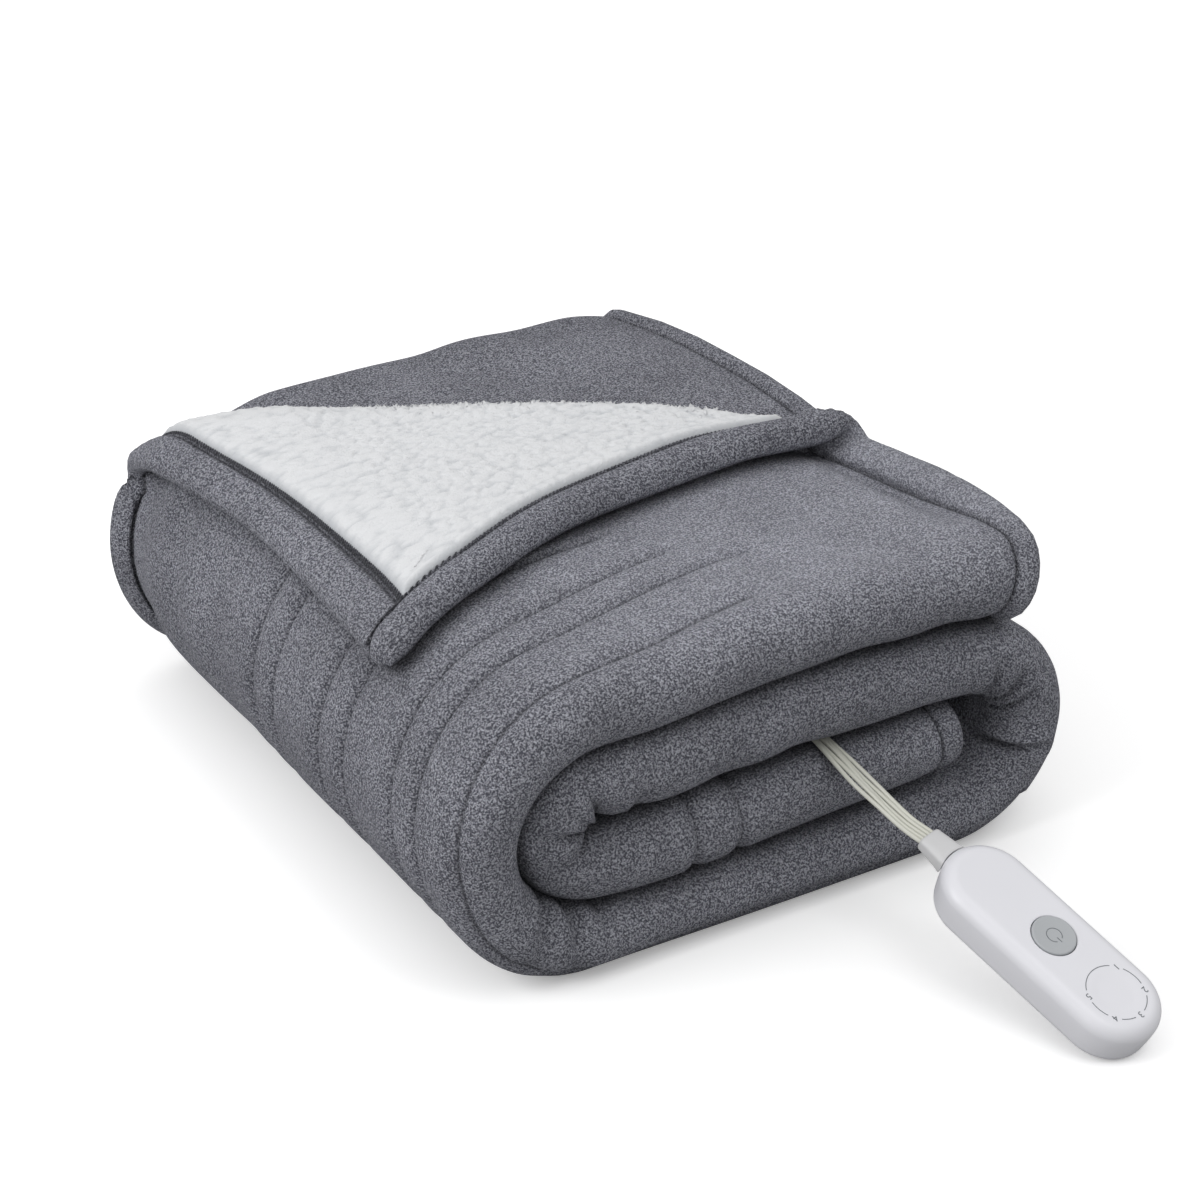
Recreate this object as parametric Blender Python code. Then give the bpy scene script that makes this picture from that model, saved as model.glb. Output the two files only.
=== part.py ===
"""Electric heated throw: a fleece blanket folded in thirds and rolled, one corner
turned back, with its flat lead and hand controller.

Metres, +Z up. The origin is the middle of the flat strip that rests on the floor.
X runs along the rolled end, Y along the roll's axis from the near end to the far end.
"""
import bpy
import bmesh
import numpy as np
from math import pi, sin, cos, sqrt, exp, radians

# ---- cloth ---------------------------------------------------------------
CLOTH = 0.0135            # plush face, wire layer and pile lining together
PITCH = 0.01475           # spacing of the three folded layers
BAND = PITCH + CLOTH / 2  # half thickness of the folded strip
TOP_PANEL = 0.455         # side edge of the outer panel, from the near fold
FAR_FOLD = 0.447          # outside of the far fold
INNER_EDGE = 0.075        # side edge hidden inside the near fold
STRIP = 0.453             # width that is centred on Y = 0

# ---- roll: one row for each stretch, from the outer end to the core --------
START_HEADING = 175.9
ROLL = (
    # stretch, length, turn in degrees
    ("top", 0.293, 9.9),
    ("left", 0.216, 174.2),
    ("bottom", 0.244, 0.0),
    ("right", 0.150, 174.0),
    ("second", 0.253, 12.2),
    ("inner", 0.080, 174.3),
    ("core", 0.239, 3.9),
)

# ---- corner turned back on the outer panel ---------------------------------
CREASE_START = 0.138      # where the crease meets the outer end, from the near fold
CREASE = radians(39.5)    # its angle to the side edge
CREASE_LENGTH = 0.40
CREASE_BOW = 0.069        # how far the cloth round it is drawn along the roll
TURN_RADII = (0.0095, 0.0133)   # of the bend, at the outer end and at the far fold
TURN_REST = 0.0158        # height of the turned cloth over the panel
TURN_SETTLE = 0.038       # how fast it comes down after the bend
TURN_PULL = 0.041         # the far side of the corner is pulled towards the near fold
TIP_DRAG = (0.247, -0.421)      # and its tip is dragged round, along and across the roll

# ---- hem --------------------------------------------------------------------
HEM_ROWS = (0.0, 0.0025, 0.0070, 0.0125, 0.0165, 0.0215)
HEM_HALF = (0.0035, 0.0066, 0.0082, 0.0072, 0.0052, 0.00675)
HEM_SLIM = (0.0030, 0.0056, 0.0071, 0.0067, 0.0054, 0.00675)
END_SPREAD = 0.0040       # the hems push the layers apart at the outer end
SIDE_LIFT = 0.0012        # and lift the side hem off the far fold
END_BOW = 0.011           # the two lower layers' end bows out between the folds

# ---- sewn channels: places on the outer panel, from the near fold -----------
CHANNEL_PAIRS = ((0.2475, 0.2205), (0.1625, 0.1315), (0.0710, 0.0450))
FOLD_SEAM = 0.75          # angle round the near fold of the next seam
SEAM_DEPTH = 0.0018
SEAM_START, SEAM_END = 0.165, 1.300
CROSS_SEAMS = (1.300, 1.3285)
SEAM_DRIFT = 0.15

# ---- lining where the corner shows it ---------------------------------------
LINING = 0.0030
LINING_EDGE = 0.0012
LINING_MARGIN = HEM_ROWS[-2] + 0.0020
LINING_GAP = 0.0014
LINING_CELLS = 26
LINING_FOOT = 0.0085      # where it starts, past the crease

# ---- controller --------------------------------------------------------------
DIAL_CENTRE = (0.0759, -0.4105, 0.0343)
POINTING, SLOPE, ROLLED = -73.6, 22.1, -4.5
CASE_WIDTH, CASE_DEPTH = 0.0538, 0.0272
CASE_TIP, CASE_BACK = 0.0273, 0.1149
CASE_ROUND = 0.0080
BUTTON_BACK = 0.0440
BUTTON_RADIUS = 0.0125
BUTTON_PROUD = 0.0008
BUTTON_BELOW = 0.0032
POCKET_DEPTH = 0.0048
CLEAR = 0.0003

# ---- boot and lead -----------------------------------------------------------
BOOT_LENGTH = 0.0165
BOOT_DEPTH = 0.0109       # middle of the boot under the controller's face
LEAD_WIDTH, LEAD_THICK = 0.0130, 0.0028
LEAD_STRANDS = 5
LEAD_ROUTE = (
    # x, y, z
    (0.0275, -0.1650, 0.0966),
    (0.0287, -0.1880, 0.0966),
    (0.0286, -0.2060, 0.0963),
    (0.0282, -0.2271, 0.0941),
    (0.0291, -0.2439, 0.0899),
    (0.0316, -0.2596, 0.0848),
    (0.0357, -0.2763, 0.0784),
)

COLOURS = {
    "plush": (0.130, 0.135, 0.155),
    "pile": (0.82, 0.83, 0.84),
    "lead": (0.76, 0.77, 0.72),
    "plastic": (0.80, 0.80, 0.82),
    "button": (0.38, 0.41, 0.42),
}


def clear_scene():
    for thing in list(bpy.data.objects):
        bpy.data.objects.remove(thing, do_unlink=True)


def material(name, roughness):
    mat = bpy.data.materials.new(name)
    mat.use_nodes = True
    shader = mat.node_tree.nodes["Principled BSDF"]
    shader.inputs["Base Color"].default_value = (*COLOURS[name], 1.0)
    shader.inputs["Roughness"].default_value = roughness
    return mat


def smooth(t):
    t = min(max(t, 0.0), 1.0)
    return t * t * (3 - 2 * t)


# ---- path of the roll in the XZ plane ------------------------------------------
def arc_step(x, z, heading, bend, along):
    if abs(bend) < 1e-9:
        return x + along * cos(heading), z + along * sin(heading)
    after = heading + bend * along
    return x + (sin(after) - sin(heading)) / bend, z - (cos(after) - cos(heading)) / bend


def roll_rows():
    x = z = begin = 0.0
    heading = radians(START_HEADING)
    rows = []
    for name, length, turn in ROLL:
        bend = radians(turn) / length
        rows.append([begin, length, x, z, heading, bend])
        x, z = arc_step(x, z, heading, bend, length)
        heading += radians(turn)
        begin += length
    bottom = rows[2]
    shift_x = -(bottom[2] + 0.5 * bottom[1])
    shift_z = BAND - bottom[3]
    for row in rows:
        row[2] += shift_x
        row[3] += shift_z
    return rows


ROWS = roll_rows()
LENGTH = ROWS[-1][0] + ROWS[-1][1]


def on_roll(s, u, n):
    """Point of the strip: s along it, u from the near fold, n outwards."""
    row = ROWS[0]
    for candidate in ROWS:
        if s >= candidate[0]:
            row = candidate
    begin, length, x, z, heading, bend = row
    along = s - begin
    if s < 0:
        bend = 0.0
    x, z = arc_step(x, z, heading, bend, along)
    heading += bend * along
    return np.array((x + n * sin(heading), u - STRIP / 2, z - n * cos(heading)))


# ---- section of the folded strip ---------------------------------------------
FLAT_TOP = TOP_PANEL - BAND
NEAR_TURN = pi * PITCH
FAR_CENTRE = FAR_FOLD - PITCH / 2 - CLOTH / 2
FLAT_INNER = FAR_CENTRE - BAND
FAR_TURN = pi * PITCH / 2
FLAT_MIDDLE = FAR_CENTRE - INNER_EDGE
GIRTH = FLAT_TOP + NEAR_TURN + FLAT_INNER + FAR_TURN + FLAT_MIDDLE


def from_crease(s, u):
    """s drawn along the roll, and the distance from the crease, positive on the corner's side."""
    s += CREASE_BOW * smooth((u - 0.09) / 0.30) * (1 - smooth(s / 0.40))
    return s, (u - CREASE_START) * cos(CREASE) - s * sin(CREASE)


def turned_back(s, u):
    """Where the outer panel's cloth goes: new s, new u and its lift."""
    s, past = from_crease(s, u)
    if past <= 0:
        return s, u, 0.0
    foot_s, foot_u = s + past * sin(CREASE), u - past * cos(CREASE)
    share = min(max(foot_s / CREASE_LENGTH, 0.0), 1.0)
    radius = TURN_RADII[0] + (TURN_RADII[1] - TURN_RADII[0]) * share
    half_turn = pi * radius
    beyond = max(past - half_turn, 0.0)
    if past < half_turn:
        off = radius * sin(past / radius)
        lift = radius * (1 - cos(past / radius))
    else:
        off = -beyond
        lift = TURN_REST + (2 * radius - TURN_REST) * exp(-(beyond / TURN_SETTLE) ** 1.5)
    s, u = foot_s - off * sin(CREASE), foot_u + off * cos(CREASE)
    u -= TURN_PULL * smooth(past / half_turn) * smooth((u - 0.12) / 0.26)
    return s + TIP_DRAG[0] * beyond, u + TIP_DRAG[1] * beyond, lift


def bowed(s, u):
    across = min(max((u - 0.12) / (FAR_FOLD - 0.12), 0.0), 1.0)
    return s - END_BOW * sin(pi * across) * (1 - smooth(s / 0.16))


def sheet(s, w):
    """Middle of the cloth: s along the roll, w across from the outer side edge."""
    if w <= FLAT_TOP:
        s, u, lift = turned_back(s, TOP_PANEL - w)
        spread = PITCH + END_SPREAD * exp(-(max(s, 0.0) / 0.034) ** 2)
        outer = 1 - smooth((s - 0.44) / 0.06)
        side = SIDE_LIFT * outer * smooth((u - 0.40) / 0.035)
        return on_roll(s, u, spread + side + lift)
    spread = PITCH + END_SPREAD * exp(-(max(s, 0.0) / 0.034) ** 2)
    w -= FLAT_TOP
    if w < NEAR_TURN:
        angle = w / PITCH
        return on_roll(s, BAND - spread * sin(angle), spread * cos(angle))
    w -= NEAR_TURN
    if w < FLAT_INNER:
        return on_roll(bowed(s, BAND + w), BAND + w, -spread)
    w -= FLAT_INNER
    if w < FAR_TURN:
        angle = w / (PITCH / 2)
        u = FAR_CENTRE + PITCH / 2 * sin(angle)
        return on_roll(bowed(s, u), u, -spread / 2 * (1 + cos(angle)))
    u = FAR_CENTRE - (w - FAR_TURN)
    return on_roll(bowed(s, u), u, 0.0)


def sheet_normal(s, w, step=0.0002):
    along = sheet(s + step, w) - sheet(s - step, w)
    across = sheet(s, w + step) - sheet(s, w - step)
    normal = np.cross(along, across)
    return normal / np.linalg.norm(normal)


def seam_shift(s, w):
    """The channels nearest the near fold run askew towards the outer end."""
    drift = SEAM_DRIFT * min(max(0.41 - s, 0.0), 0.245)
    u = TOP_PANEL - w
    if w > FLAT_TOP:
        weight = 1 - (w - FLAT_TOP) / NEAR_TURN
    else:
        weight = 1 - smooth((u - 0.066) / 0.085)
    return w - drift * min(max(weight, 0.0), 1.0)


def half_thickness(s, w, is_seam, is_cross):
    slim = smooth((s - 0.44) / 0.06)
    near = min(s, LENGTH - s, w)
    full = np.interp(near, HEM_ROWS, HEM_HALF)
    lean = np.interp(near, HEM_ROWS, HEM_SLIM)
    half = full + (lean - full) * slim
    if GIRTH - w < 0.003:
        half = min(half, 0.0045)
    flat_on_floor = smooth((s - 0.47) / 0.03) * (1 - smooth((s - 0.77) / 0.03))
    runs = smooth((s - SEAM_START) / 0.04) * (1 - smooth((s - SEAM_END) / 0.01))
    if is_seam:
        half -= SEAM_DEPTH * runs * (1 - flat_on_floor)
    if is_cross:
        half -= SEAM_DEPTH
    return half


def spans(*rows):
    """Stations from rows of (start, end, cells)."""
    out = []
    for start, end, cells in rows:
        out += list(np.linspace(start, end, cells + 1)[:-1])
    return out + [rows[-1][1]]


def along_stations():
    starts = [row[0] for row in ROWS]
    hem = list(HEM_ROWS)
    last = LENGTH - hem[-1]
    run = spans((hem[-1], 0.42, 28), (0.42, starts[2], 5), (starts[2], starts[3], 4),
                (starts[3], starts[4], 7), (starts[4], starts[5], 4), (starts[5], starts[6], 7),
                (starts[6], CROSS_SEAMS[0] - 0.012, 2), (CROSS_SEAMS[0] - 0.012, CROSS_SEAMS[0], 1),
                (CROSS_SEAMS[0], CROSS_SEAMS[1], 2), (CROSS_SEAMS[1], CROSS_SEAMS[1] + 0.012, 1),
                (CROSS_SEAMS[1] + 0.012, last, 2))
    return hem[:-1] + run + [LENGTH - d for d in reversed(hem[:-1])]


def across_stations():
    """Stations from the outer side edge to the inner one; True marks a seam."""
    out = [(d, False) for d in HEM_ROWS]
    out += [(TOP_PANEL - u, False) for u in spans((0.418, CHANNEL_PAIRS[0][0], 10))[:-1]]
    edges = [u for pair in CHANNEL_PAIRS for u in pair] + [BAND]
    for here, there in zip(edges[:-1], edges[1:]):
        out.append((TOP_PANEL - here, True))
        cells = 2 if here - there < 0.05 else 3
        out += [(TOP_PANEL - u, False) for u in np.linspace(here, there, cells + 1)[1:-1]]
    for k in range(6):
        angle = (0.0, FOLD_SEAM, 1.30, 1.85, 2.35, 2.75)[k]
        out.append((FLAT_TOP + PITCH * angle, k == 1))
    base = FLAT_TOP + NEAR_TURN
    out += [(base + d, False) for d in np.linspace(0, FLAT_INNER, 5)[:-1]]
    base += FLAT_INNER
    out += [(base + d, False) for d in np.linspace(0, FAR_TURN, 4)[:-1]]
    base += FAR_TURN
    out += [(base + d, False) for d in np.linspace(0, FLAT_MIDDLE - 0.003, 4)]
    return out + [(GIRTH, False)]


def grid_solid(name, over, under, mat):
    """Closed body between two grids of points."""
    rows, cols = over.shape[:2]
    mesh = bmesh.new()
    top = [[mesh.verts.new(over[i, j]) for j in range(cols)] for i in range(rows)]
    low = [[mesh.verts.new(under[i, j]) for j in range(cols)] for i in range(rows)]
    for i in range(rows - 1):
        for j in range(cols - 1):
            mesh.faces.new((top[i][j], top[i + 1][j], top[i + 1][j + 1], top[i][j + 1]))
            mesh.faces.new((low[i][j], low[i][j + 1], low[i + 1][j + 1], low[i + 1][j]))
    rim = [(i, 0) for i in range(rows)] + [(rows - 1, j) for j in range(1, cols)]
    rim += [(i, cols - 1) for i in range(rows - 2, -1, -1)] + [(0, j) for j in range(cols - 2, 0, -1)]
    for (i, j), (k, m) in zip(rim, rim[1:] + rim[:1]):
        mesh.faces.new((top[i][j], low[i][j], low[k][m], top[k][m]))
    return finished(name, mesh, mat)


def finished(name, mesh, mat):
    bmesh.ops.triangulate(mesh, faces=mesh.faces[:])
    bmesh.ops.recalc_face_normals(mesh, faces=mesh.faces[:])
    data = bpy.data.meshes.new(name)
    mesh.to_mesh(data)
    mesh.free()
    data.materials.append(mat)
    data.shade_smooth()
    thing = bpy.data.objects.new(name, data)
    bpy.context.collection.objects.link(thing)
    return thing


def rested(points):
    """The underside lies flat on the floor."""
    points[..., 2] = np.where(points[..., 2] < 0.00002, 0.0, points[..., 2])
    return points


def build_blanket(mat):
    stations, lanes = along_stations(), across_stations()
    over = np.zeros((len(stations), len(lanes), 3))
    under = np.zeros_like(over)
    for i, s in enumerate(stations):
        is_cross = any(abs(s - c) < 1e-6 for c in CROSS_SEAMS)
        for j, (lane, is_seam) in enumerate(lanes):
            w = seam_shift(s, lane)
            middle, normal = sheet(s, w), sheet_normal(s, w)
            half = half_thickness(s, lane, is_seam, is_cross)
            over[i, j] = middle + normal * half
            under[i, j] = middle - normal * half
    return grid_solid("blanket", rested(over), rested(under), mat)


def lining_reach(lean):
    """Distance from the lining's corner to the foot of the bend; lean 0 is along the side edge."""
    low, high = 0.10, 0.90
    for _ in range(30):
        middle = (low + high) / 2
        s, w = LINING_MARGIN + middle * (1 - lean), LINING_MARGIN + middle * lean
        if from_crease(s, TOP_PANEL - w)[1] > LINING_FOOT:
            low = middle
        else:
            high = middle
    return low


def build_lining(mat):
    """Pile side of the turned corner, inside its hems: rings that fan out to the bend."""
    mesh = bmesh.new()
    outer, inner = {}, {}
    for ring in range(LINING_CELLS + 1):
        left = 1 - ring / LINING_CELLS
        reach = 1 - left * (0.45 + 0.55 * left)
        for k in range(ring + 1):
            lean = k / ring if ring else 0.5
            away = reach * lining_reach(lean)
            s, w = LINING_MARGIN + away * (1 - lean), LINING_MARGIN + away * lean
            middle, normal = sheet(s, w), LINING_SIDE * sheet_normal(s, w)
            rim = k == 0 or k == ring or ring == LINING_CELLS
            near = CLOTH / 2 + LINING_GAP
            inner[ring, k] = mesh.verts.new(middle + normal * near)
            outer[ring, k] = mesh.verts.new(middle + normal * (near + (LINING_EDGE if rim else LINING)))
    for ring in range(LINING_CELLS):
        for k in range(ring + 1):
            for layer in (outer, inner):
                mesh.faces.new((layer[ring, k], layer[ring + 1, k], layer[ring + 1, k + 1]))
                if k < ring:
                    mesh.faces.new((layer[ring, k], layer[ring + 1, k + 1], layer[ring, k + 1]))
    n = LINING_CELLS
    rim = [(r, 0) for r in range(n)] + [(n, k) for k in range(n)] + [(r, r) for r in range(n, 0, -1)]
    for here, there in zip(rim, rim[1:] + rim[:1]):
        mesh.faces.new((outer[here], inner[here], inner[there], outer[there]))
    return finished("sherpa_corner", mesh, mat)


# The cloth's pile side is the one that faces the middle panel.
LINING_SIDE = -1.0 if np.dot(sheet_normal(0.2, 0.3), (0, 0, 1)) > 0 else 1.0


# ---- controller -------------------------------------------------------------------
def case_axes():
    heading, slope, rolled = radians(POINTING), radians(SLOPE), radians(ROLLED)
    ahead = np.array((cos(heading) * cos(slope), sin(heading) * cos(slope), -sin(slope)))
    side = np.array((-sin(heading), cos(heading), 0.0))
    face = np.cross(ahead, side)
    return ahead, side * cos(rolled) - face * sin(rolled), face * cos(rolled) + side * sin(rolled)


AHEAD, SIDE, FACE = case_axes()


def on_case(ahead, side, depth):
    return np.array(DIAL_CENTRE) + AHEAD * ahead + SIDE * side - FACE * depth


def case_loop(inset, depth, steps=12):
    radius = CASE_WIDTH / 2 - inset
    points = []
    for centre, first in ((CASE_TIP - CASE_WIDTH / 2, -pi / 2), (-(CASE_BACK - CASE_WIDTH / 2), pi / 2)):
        for k in range(steps + 1):
            angle = first + pi * k / steps
            points.append(on_case(centre + radius * cos(angle), radius * sin(angle), depth))
    return points


def circle(centre, radius, depth, steps=36):
    return [on_case(-BUTTON_BACK + radius * cos(2 * pi * k / steps), radius * sin(2 * pi * k / steps), depth)
            for k in range(steps)]


def skin(mesh, loops):
    """Bridge rings of equal count; gives back the rings' vertices."""
    rings = [[mesh.verts.new(p) for p in loop] for loop in loops]
    for low, high in zip(rings[:-1], rings[1:]):
        for k in range(len(low)):
            nxt = (k + 1) % len(low)
            mesh.faces.new((low[k], low[nxt], high[nxt], high[k]))
    return rings


def ring_edges(mesh, ring):
    return [mesh.edges.get((a, b)) or mesh.edges.new((a, b)) for a, b in zip(ring, ring[1:] + ring[:1])]


def build_case(mat):
    mesh = bmesh.new()
    profile = [(CASE_ROUND * (1 - sin(a)), CASE_ROUND * (1 - cos(a))) for a in np.linspace(0, pi / 2, 6)]
    profile += [(0.0006, CASE_DEPTH * 0.62), (0.0026, CASE_DEPTH - 0.0030), (0.0066, CASE_DEPTH)]
    shell = skin(mesh, [case_loop(inset, depth) for inset, depth in profile])
    hole = BUTTON_RADIUS + CLEAR + 0.0001
    pocket = skin(mesh, [circle(0, hole + 0.0006, 0.0), circle(0, hole, 0.0006), circle(0, hole, POCKET_DEPTH)])
    mesh.faces.new(pocket[-1])
    mesh.faces.new(shell[-1])
    bmesh.ops.triangle_fill(mesh, edges=ring_edges(mesh, shell[0]) + ring_edges(mesh, pocket[0]),
                            use_beauty=True, use_dissolve=False)
    return finished("controller_case", mesh, mat)


def build_button(mat):
    mesh = bmesh.new()
    r = BUTTON_RADIUS
    rings = skin(mesh, [circle(0, r, BUTTON_BELOW), circle(0, r, -BUTTON_PROUD + 0.0006),
                        circle(0, r - 0.0003, -BUTTON_PROUD + 0.0001), circle(0, r - 0.0010, -BUTTON_PROUD)])
    mesh.faces.new(rings[0])
    mesh.faces.new(rings[-1])
    return finished("power_button", mesh, mat)


def build_boot(mat):
    """Strain relief: it follows the controller's round end."""
    mesh = bmesh.new()
    end_radius = CASE_WIDTH / 2 + CLEAR
    loops = []
    for reach, half_wide, half_deep in ((0.0, 0.0098, 0.0054), (0.0020, 0.0095, 0.0053), (0.0090, 0.0086, 0.0047),
                                        (0.0155, 0.0079, 0.0041), (BOOT_LENGTH, 0.0074, 0.0036)):
        loop = []
        for k in range(28):
            angle = 2 * pi * k / 28
            side = half_wide * np.sign(cos(angle)) * abs(cos(angle)) ** 0.45
            deep = half_deep * np.sign(sin(angle)) * abs(sin(angle)) ** 0.45
            base = -(CASE_BACK - CASE_WIDTH / 2) - sqrt(end_radius ** 2 - side ** 2)
            end = -CASE_BACK - CLEAR
            blend = reach / BOOT_LENGTH
            loop.append(on_case(base + (end - base) * blend - reach, side, BOOT_DEPTH + deep))
        loops.append(loop)
    rings = skin(mesh, loops)
    for ring, reach, flip in ((rings[0], 0.0, 1), (rings[-1], BOOT_LENGTH, -1)):
        hub = mesh.verts.new(on_case(-CASE_BACK - CLEAR - reach, 0.0, BOOT_DEPTH))
        for a, b in zip(ring, ring[1:] + ring[:1]):
            mesh.faces.new((hub, b, a) if flip > 0 else (hub, a, b))
    return finished("cord_boot", mesh, mat)


# ---- lead --------------------------------------------------------------------------
def smooth_route(points, per_leg=4):
    """Catmull-Rom curve through the route's points."""
    p = [np.array(q) for q in points]
    p = [2 * p[0] - p[1]] + p + [2 * p[-1] - p[-2]]
    out = []
    for a, b, c, d in zip(p[:-3], p[1:-2], p[2:-1], p[3:]):
        for k in range(per_leg):
            t = k / per_leg
            out.append(0.5 * (2 * b + (c - a) * t + (2 * a - 5 * b + 4 * c - d) * t * t
                              + (3 * b - a - 3 * c + d) * t ** 3))
    return out + [p[-2]]


def lead_profile():
    """Five round strands side by side, as (across, up) pairs."""
    pitch, crest, valley = LEAD_WIDTH / LEAD_STRANDS, LEAD_THICK / 2, LEAD_THICK / 2 - 0.0006
    top = []
    for k in range(LEAD_STRANDS):
        centre = (k - (LEAD_STRANDS - 1) / 2) * pitch
        top += [(centre - pitch * 0.28, crest * 0.86), (centre, crest), (centre + pitch * 0.28, crest * 0.86)]
        if k < LEAD_STRANDS - 1:
            top.append((centre + pitch / 2, valley))
    side = LEAD_WIDTH / 2
    return [(-side, 0.0)] + top + [(side, 0.0)] + [(a, -b) for a, b in reversed(top)]


def build_lead(mat):
    route = smooth_route(LEAD_ROUTE + (tuple(on_case(-CASE_BACK - BOOT_LENGTH - 2 * CLEAR, 0.0, BOOT_DEPTH)),))
    loops = []
    for k, here in enumerate(route):
        before, after = route[max(k - 1, 0)], route[min(k + 1, len(route) - 1)]
        tangent = (after - before) / np.linalg.norm(after - before)
        if k == len(route) - 1:
            tangent = AHEAD
        share = smooth(k / (len(route) - 1))
        wide = np.array((1.0, 0.0, 0.0)) * (1 - share) + SIDE * share
        wide -= tangent * np.dot(wide, tangent)
        wide /= np.linalg.norm(wide)
        up = np.cross(wide, tangent)
        loops.append([here + wide * a + up * b for a, b in lead_profile()])
    mesh = bmesh.new()
    rings = skin(mesh, loops)
    mesh.faces.new(rings[0])
    mesh.faces.new(rings[-1])
    return finished("lead_cord", mesh, mat)


def main():
    clear_scene()
    plush = material("plush", 0.95)
    pile = material("pile", 0.98)
    lead = material("lead", 0.45)
    plastic = material("plastic", 0.38)
    button = material("button", 0.45)
    build_blanket(plush)
    build_lining(pile)
    build_case(plastic)
    build_button(button)
    build_boot(plastic)
    build_lead(lead)


main()
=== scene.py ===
# Heated throw: plush blanket folded in thirds and rolled, one corner turned back over its sherpa
# lining, with a flat lead and a hand controller. Metres, +Z up.
import bmesh
import bpy
import numpy as np
from math import pi, sin, cos, sqrt, radians
from mathutils import Vector, Matrix


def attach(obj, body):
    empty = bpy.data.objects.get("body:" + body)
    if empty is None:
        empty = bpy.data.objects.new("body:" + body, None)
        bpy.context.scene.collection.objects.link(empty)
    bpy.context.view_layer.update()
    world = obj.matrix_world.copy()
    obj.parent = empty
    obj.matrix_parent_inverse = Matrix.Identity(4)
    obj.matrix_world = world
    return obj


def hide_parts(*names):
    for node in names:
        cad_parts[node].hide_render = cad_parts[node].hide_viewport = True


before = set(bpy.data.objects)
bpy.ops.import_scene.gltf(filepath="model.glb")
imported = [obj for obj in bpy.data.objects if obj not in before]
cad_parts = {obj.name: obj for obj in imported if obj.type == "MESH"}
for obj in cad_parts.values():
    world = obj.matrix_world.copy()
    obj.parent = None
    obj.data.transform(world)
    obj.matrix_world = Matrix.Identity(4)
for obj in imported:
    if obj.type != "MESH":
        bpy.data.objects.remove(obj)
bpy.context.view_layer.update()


# the photographer's place
camera = {
    "target": (-0.02005, 0.0, 0.10),
    "azimuth": -30.77,  # degrees, 0 looks along +Y
    "elevation": 28.84,
    "distance": 1.8,
    "lens": 90.0,
    "shiftX": 0.03653,
    "shiftY": 0.00121,
}


def makeCamera():
    a, e = radians(camera["azimuth"]), radians(camera["elevation"])
    back = Vector((sin(a) * cos(e), -cos(a) * cos(e), sin(e)))
    right = Vector((cos(a), sin(a), 0.0))
    data = bpy.data.cameras.new("camera")
    data.lens = camera["lens"]
    data.sensor_width = 36.0
    data.shift_x, data.shift_y = camera["shiftX"], camera["shiftY"]
    data.clip_end = 50.0
    thing = newObject("camera", data)
    turn = Matrix((right, back.cross(right), back)).transposed()
    place = Vector(camera["target"]) + back * camera["distance"]
    thing.matrix_world = Matrix.Translation(place) @ turn.to_4x4()
    bpy.context.scene.camera = thing


# lead: the route's points are given, its last leg goes straight into the boot
lead = {
    "route": (
        (0.0275, -0.1650, 0.0966), (0.0287, -0.1880, 0.0966), (0.0286, -0.2060, 0.0963),
        (0.0282, -0.2271, 0.0941), (0.0291, -0.2439, 0.0899), (0.0316, -0.2596, 0.0848),
        (0.0357, -0.2763, 0.0784),
    ),
    "width": 0.0130,
    "strands": 5,
    "strandWidth": 0.0025,
    "drawnIn": 0.74,  # how close the strands lie at the blanket's end
    "twist": 0.0005,  # how far a strand strays from its neighbours
    "perLeg": 8, "sides": 12,
}

# controller: its dial's centre, its heading, and its moulded shape
controller = {
    "dialCentre": (0.0759, -0.4105, 0.0343),
    "pointing": -73.6, "slope": 22.1, "rolled": -4.5,  # degrees
    "width": 0.0538, "depth": 0.0272,
    "tip": 0.0273, "back": 0.1149,  # reach past the dial's centre, and behind it
    "round": 0.0080, "lowerRound": 0.0060, "skirt": 0.0012,
    "buttonBack": 0.0440, "buttonRadius": 0.0125, "buttonProud": 0.0008, "buttonBelow": 0.0032,
    "buttonEdge": 0.0008, "pocketDepth": 0.0048, "pocketLip": 0.0006, "clear": 0.0003,
    "bootLength": 0.0165, "bootDepth": 0.0109,
    "ringRadius": 0.0168, "ringLine": 0.00042, "digitSize": 0.0054, "printProud": 0.00012,
    "printSunk": 0.0001, "markRadius": 0.0044, "markLine": 0.00034,
    "dishRadius": 0.0150, "dishDepth": 0.0004,
    # heat settings and their places on the ring, in radians from ahead towards the side
    "digits": (("1", 2.25), ("2", 1.065), ("3", 0.0), ("4", -0.948), ("5", -2.035)),
}


# small helpers, used by all the pieces
def smooth(t):
    t = np.clip(t, 0.0, 1.0)
    return t * t * (3 - 2 * t)


def ramp(x, start, reach):
    # eases from 0 at start to 1 a reach further on
    return smooth((x - start) / reach)


def swell(x, centre, width):
    # 1 at the centre, dying away on both sides
    return np.exp(-((x - centre) / width) ** 2)


def span(x, window):
    # 1 within a window, 0 outside: where it starts, over what reach, where it ends, over what reach
    start, rising, end, falling = window
    return ramp(x, start, rising) * (1 - ramp(x, end, falling))


def unit(vectors):
    return vectors / np.linalg.norm(vectors, axis=-1, keepdims=True)


def linear(hexColour):
    # sRGB hex to the linear colour that shaders use
    parts = [int(hexColour[k:k + 2], 16) / 255 for k in (1, 3, 5)]
    return tuple(p / 12.92 if p <= 0.04045 else ((p + 0.055) / 1.055) ** 2.4 for p in parts) + (1.0,)


def fillInputs(tree, node, inputs):
    # an output of another node is linked, anything else is set
    for socket, value in inputs.items():
        if isinstance(value, bpy.types.NodeSocket):
            tree.links.new(value, node.inputs[socket])
        else:
            node.inputs[socket].default_value = value


def addNode(tree, kind, inputs=None, out=0, **settings):
    # gives the output that is asked for
    node = tree.nodes.new(kind)
    for name, value in settings.items():
        setattr(node, name, value)
    fillInputs(tree, node, inputs or {})
    return node.outputs[out]


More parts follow.
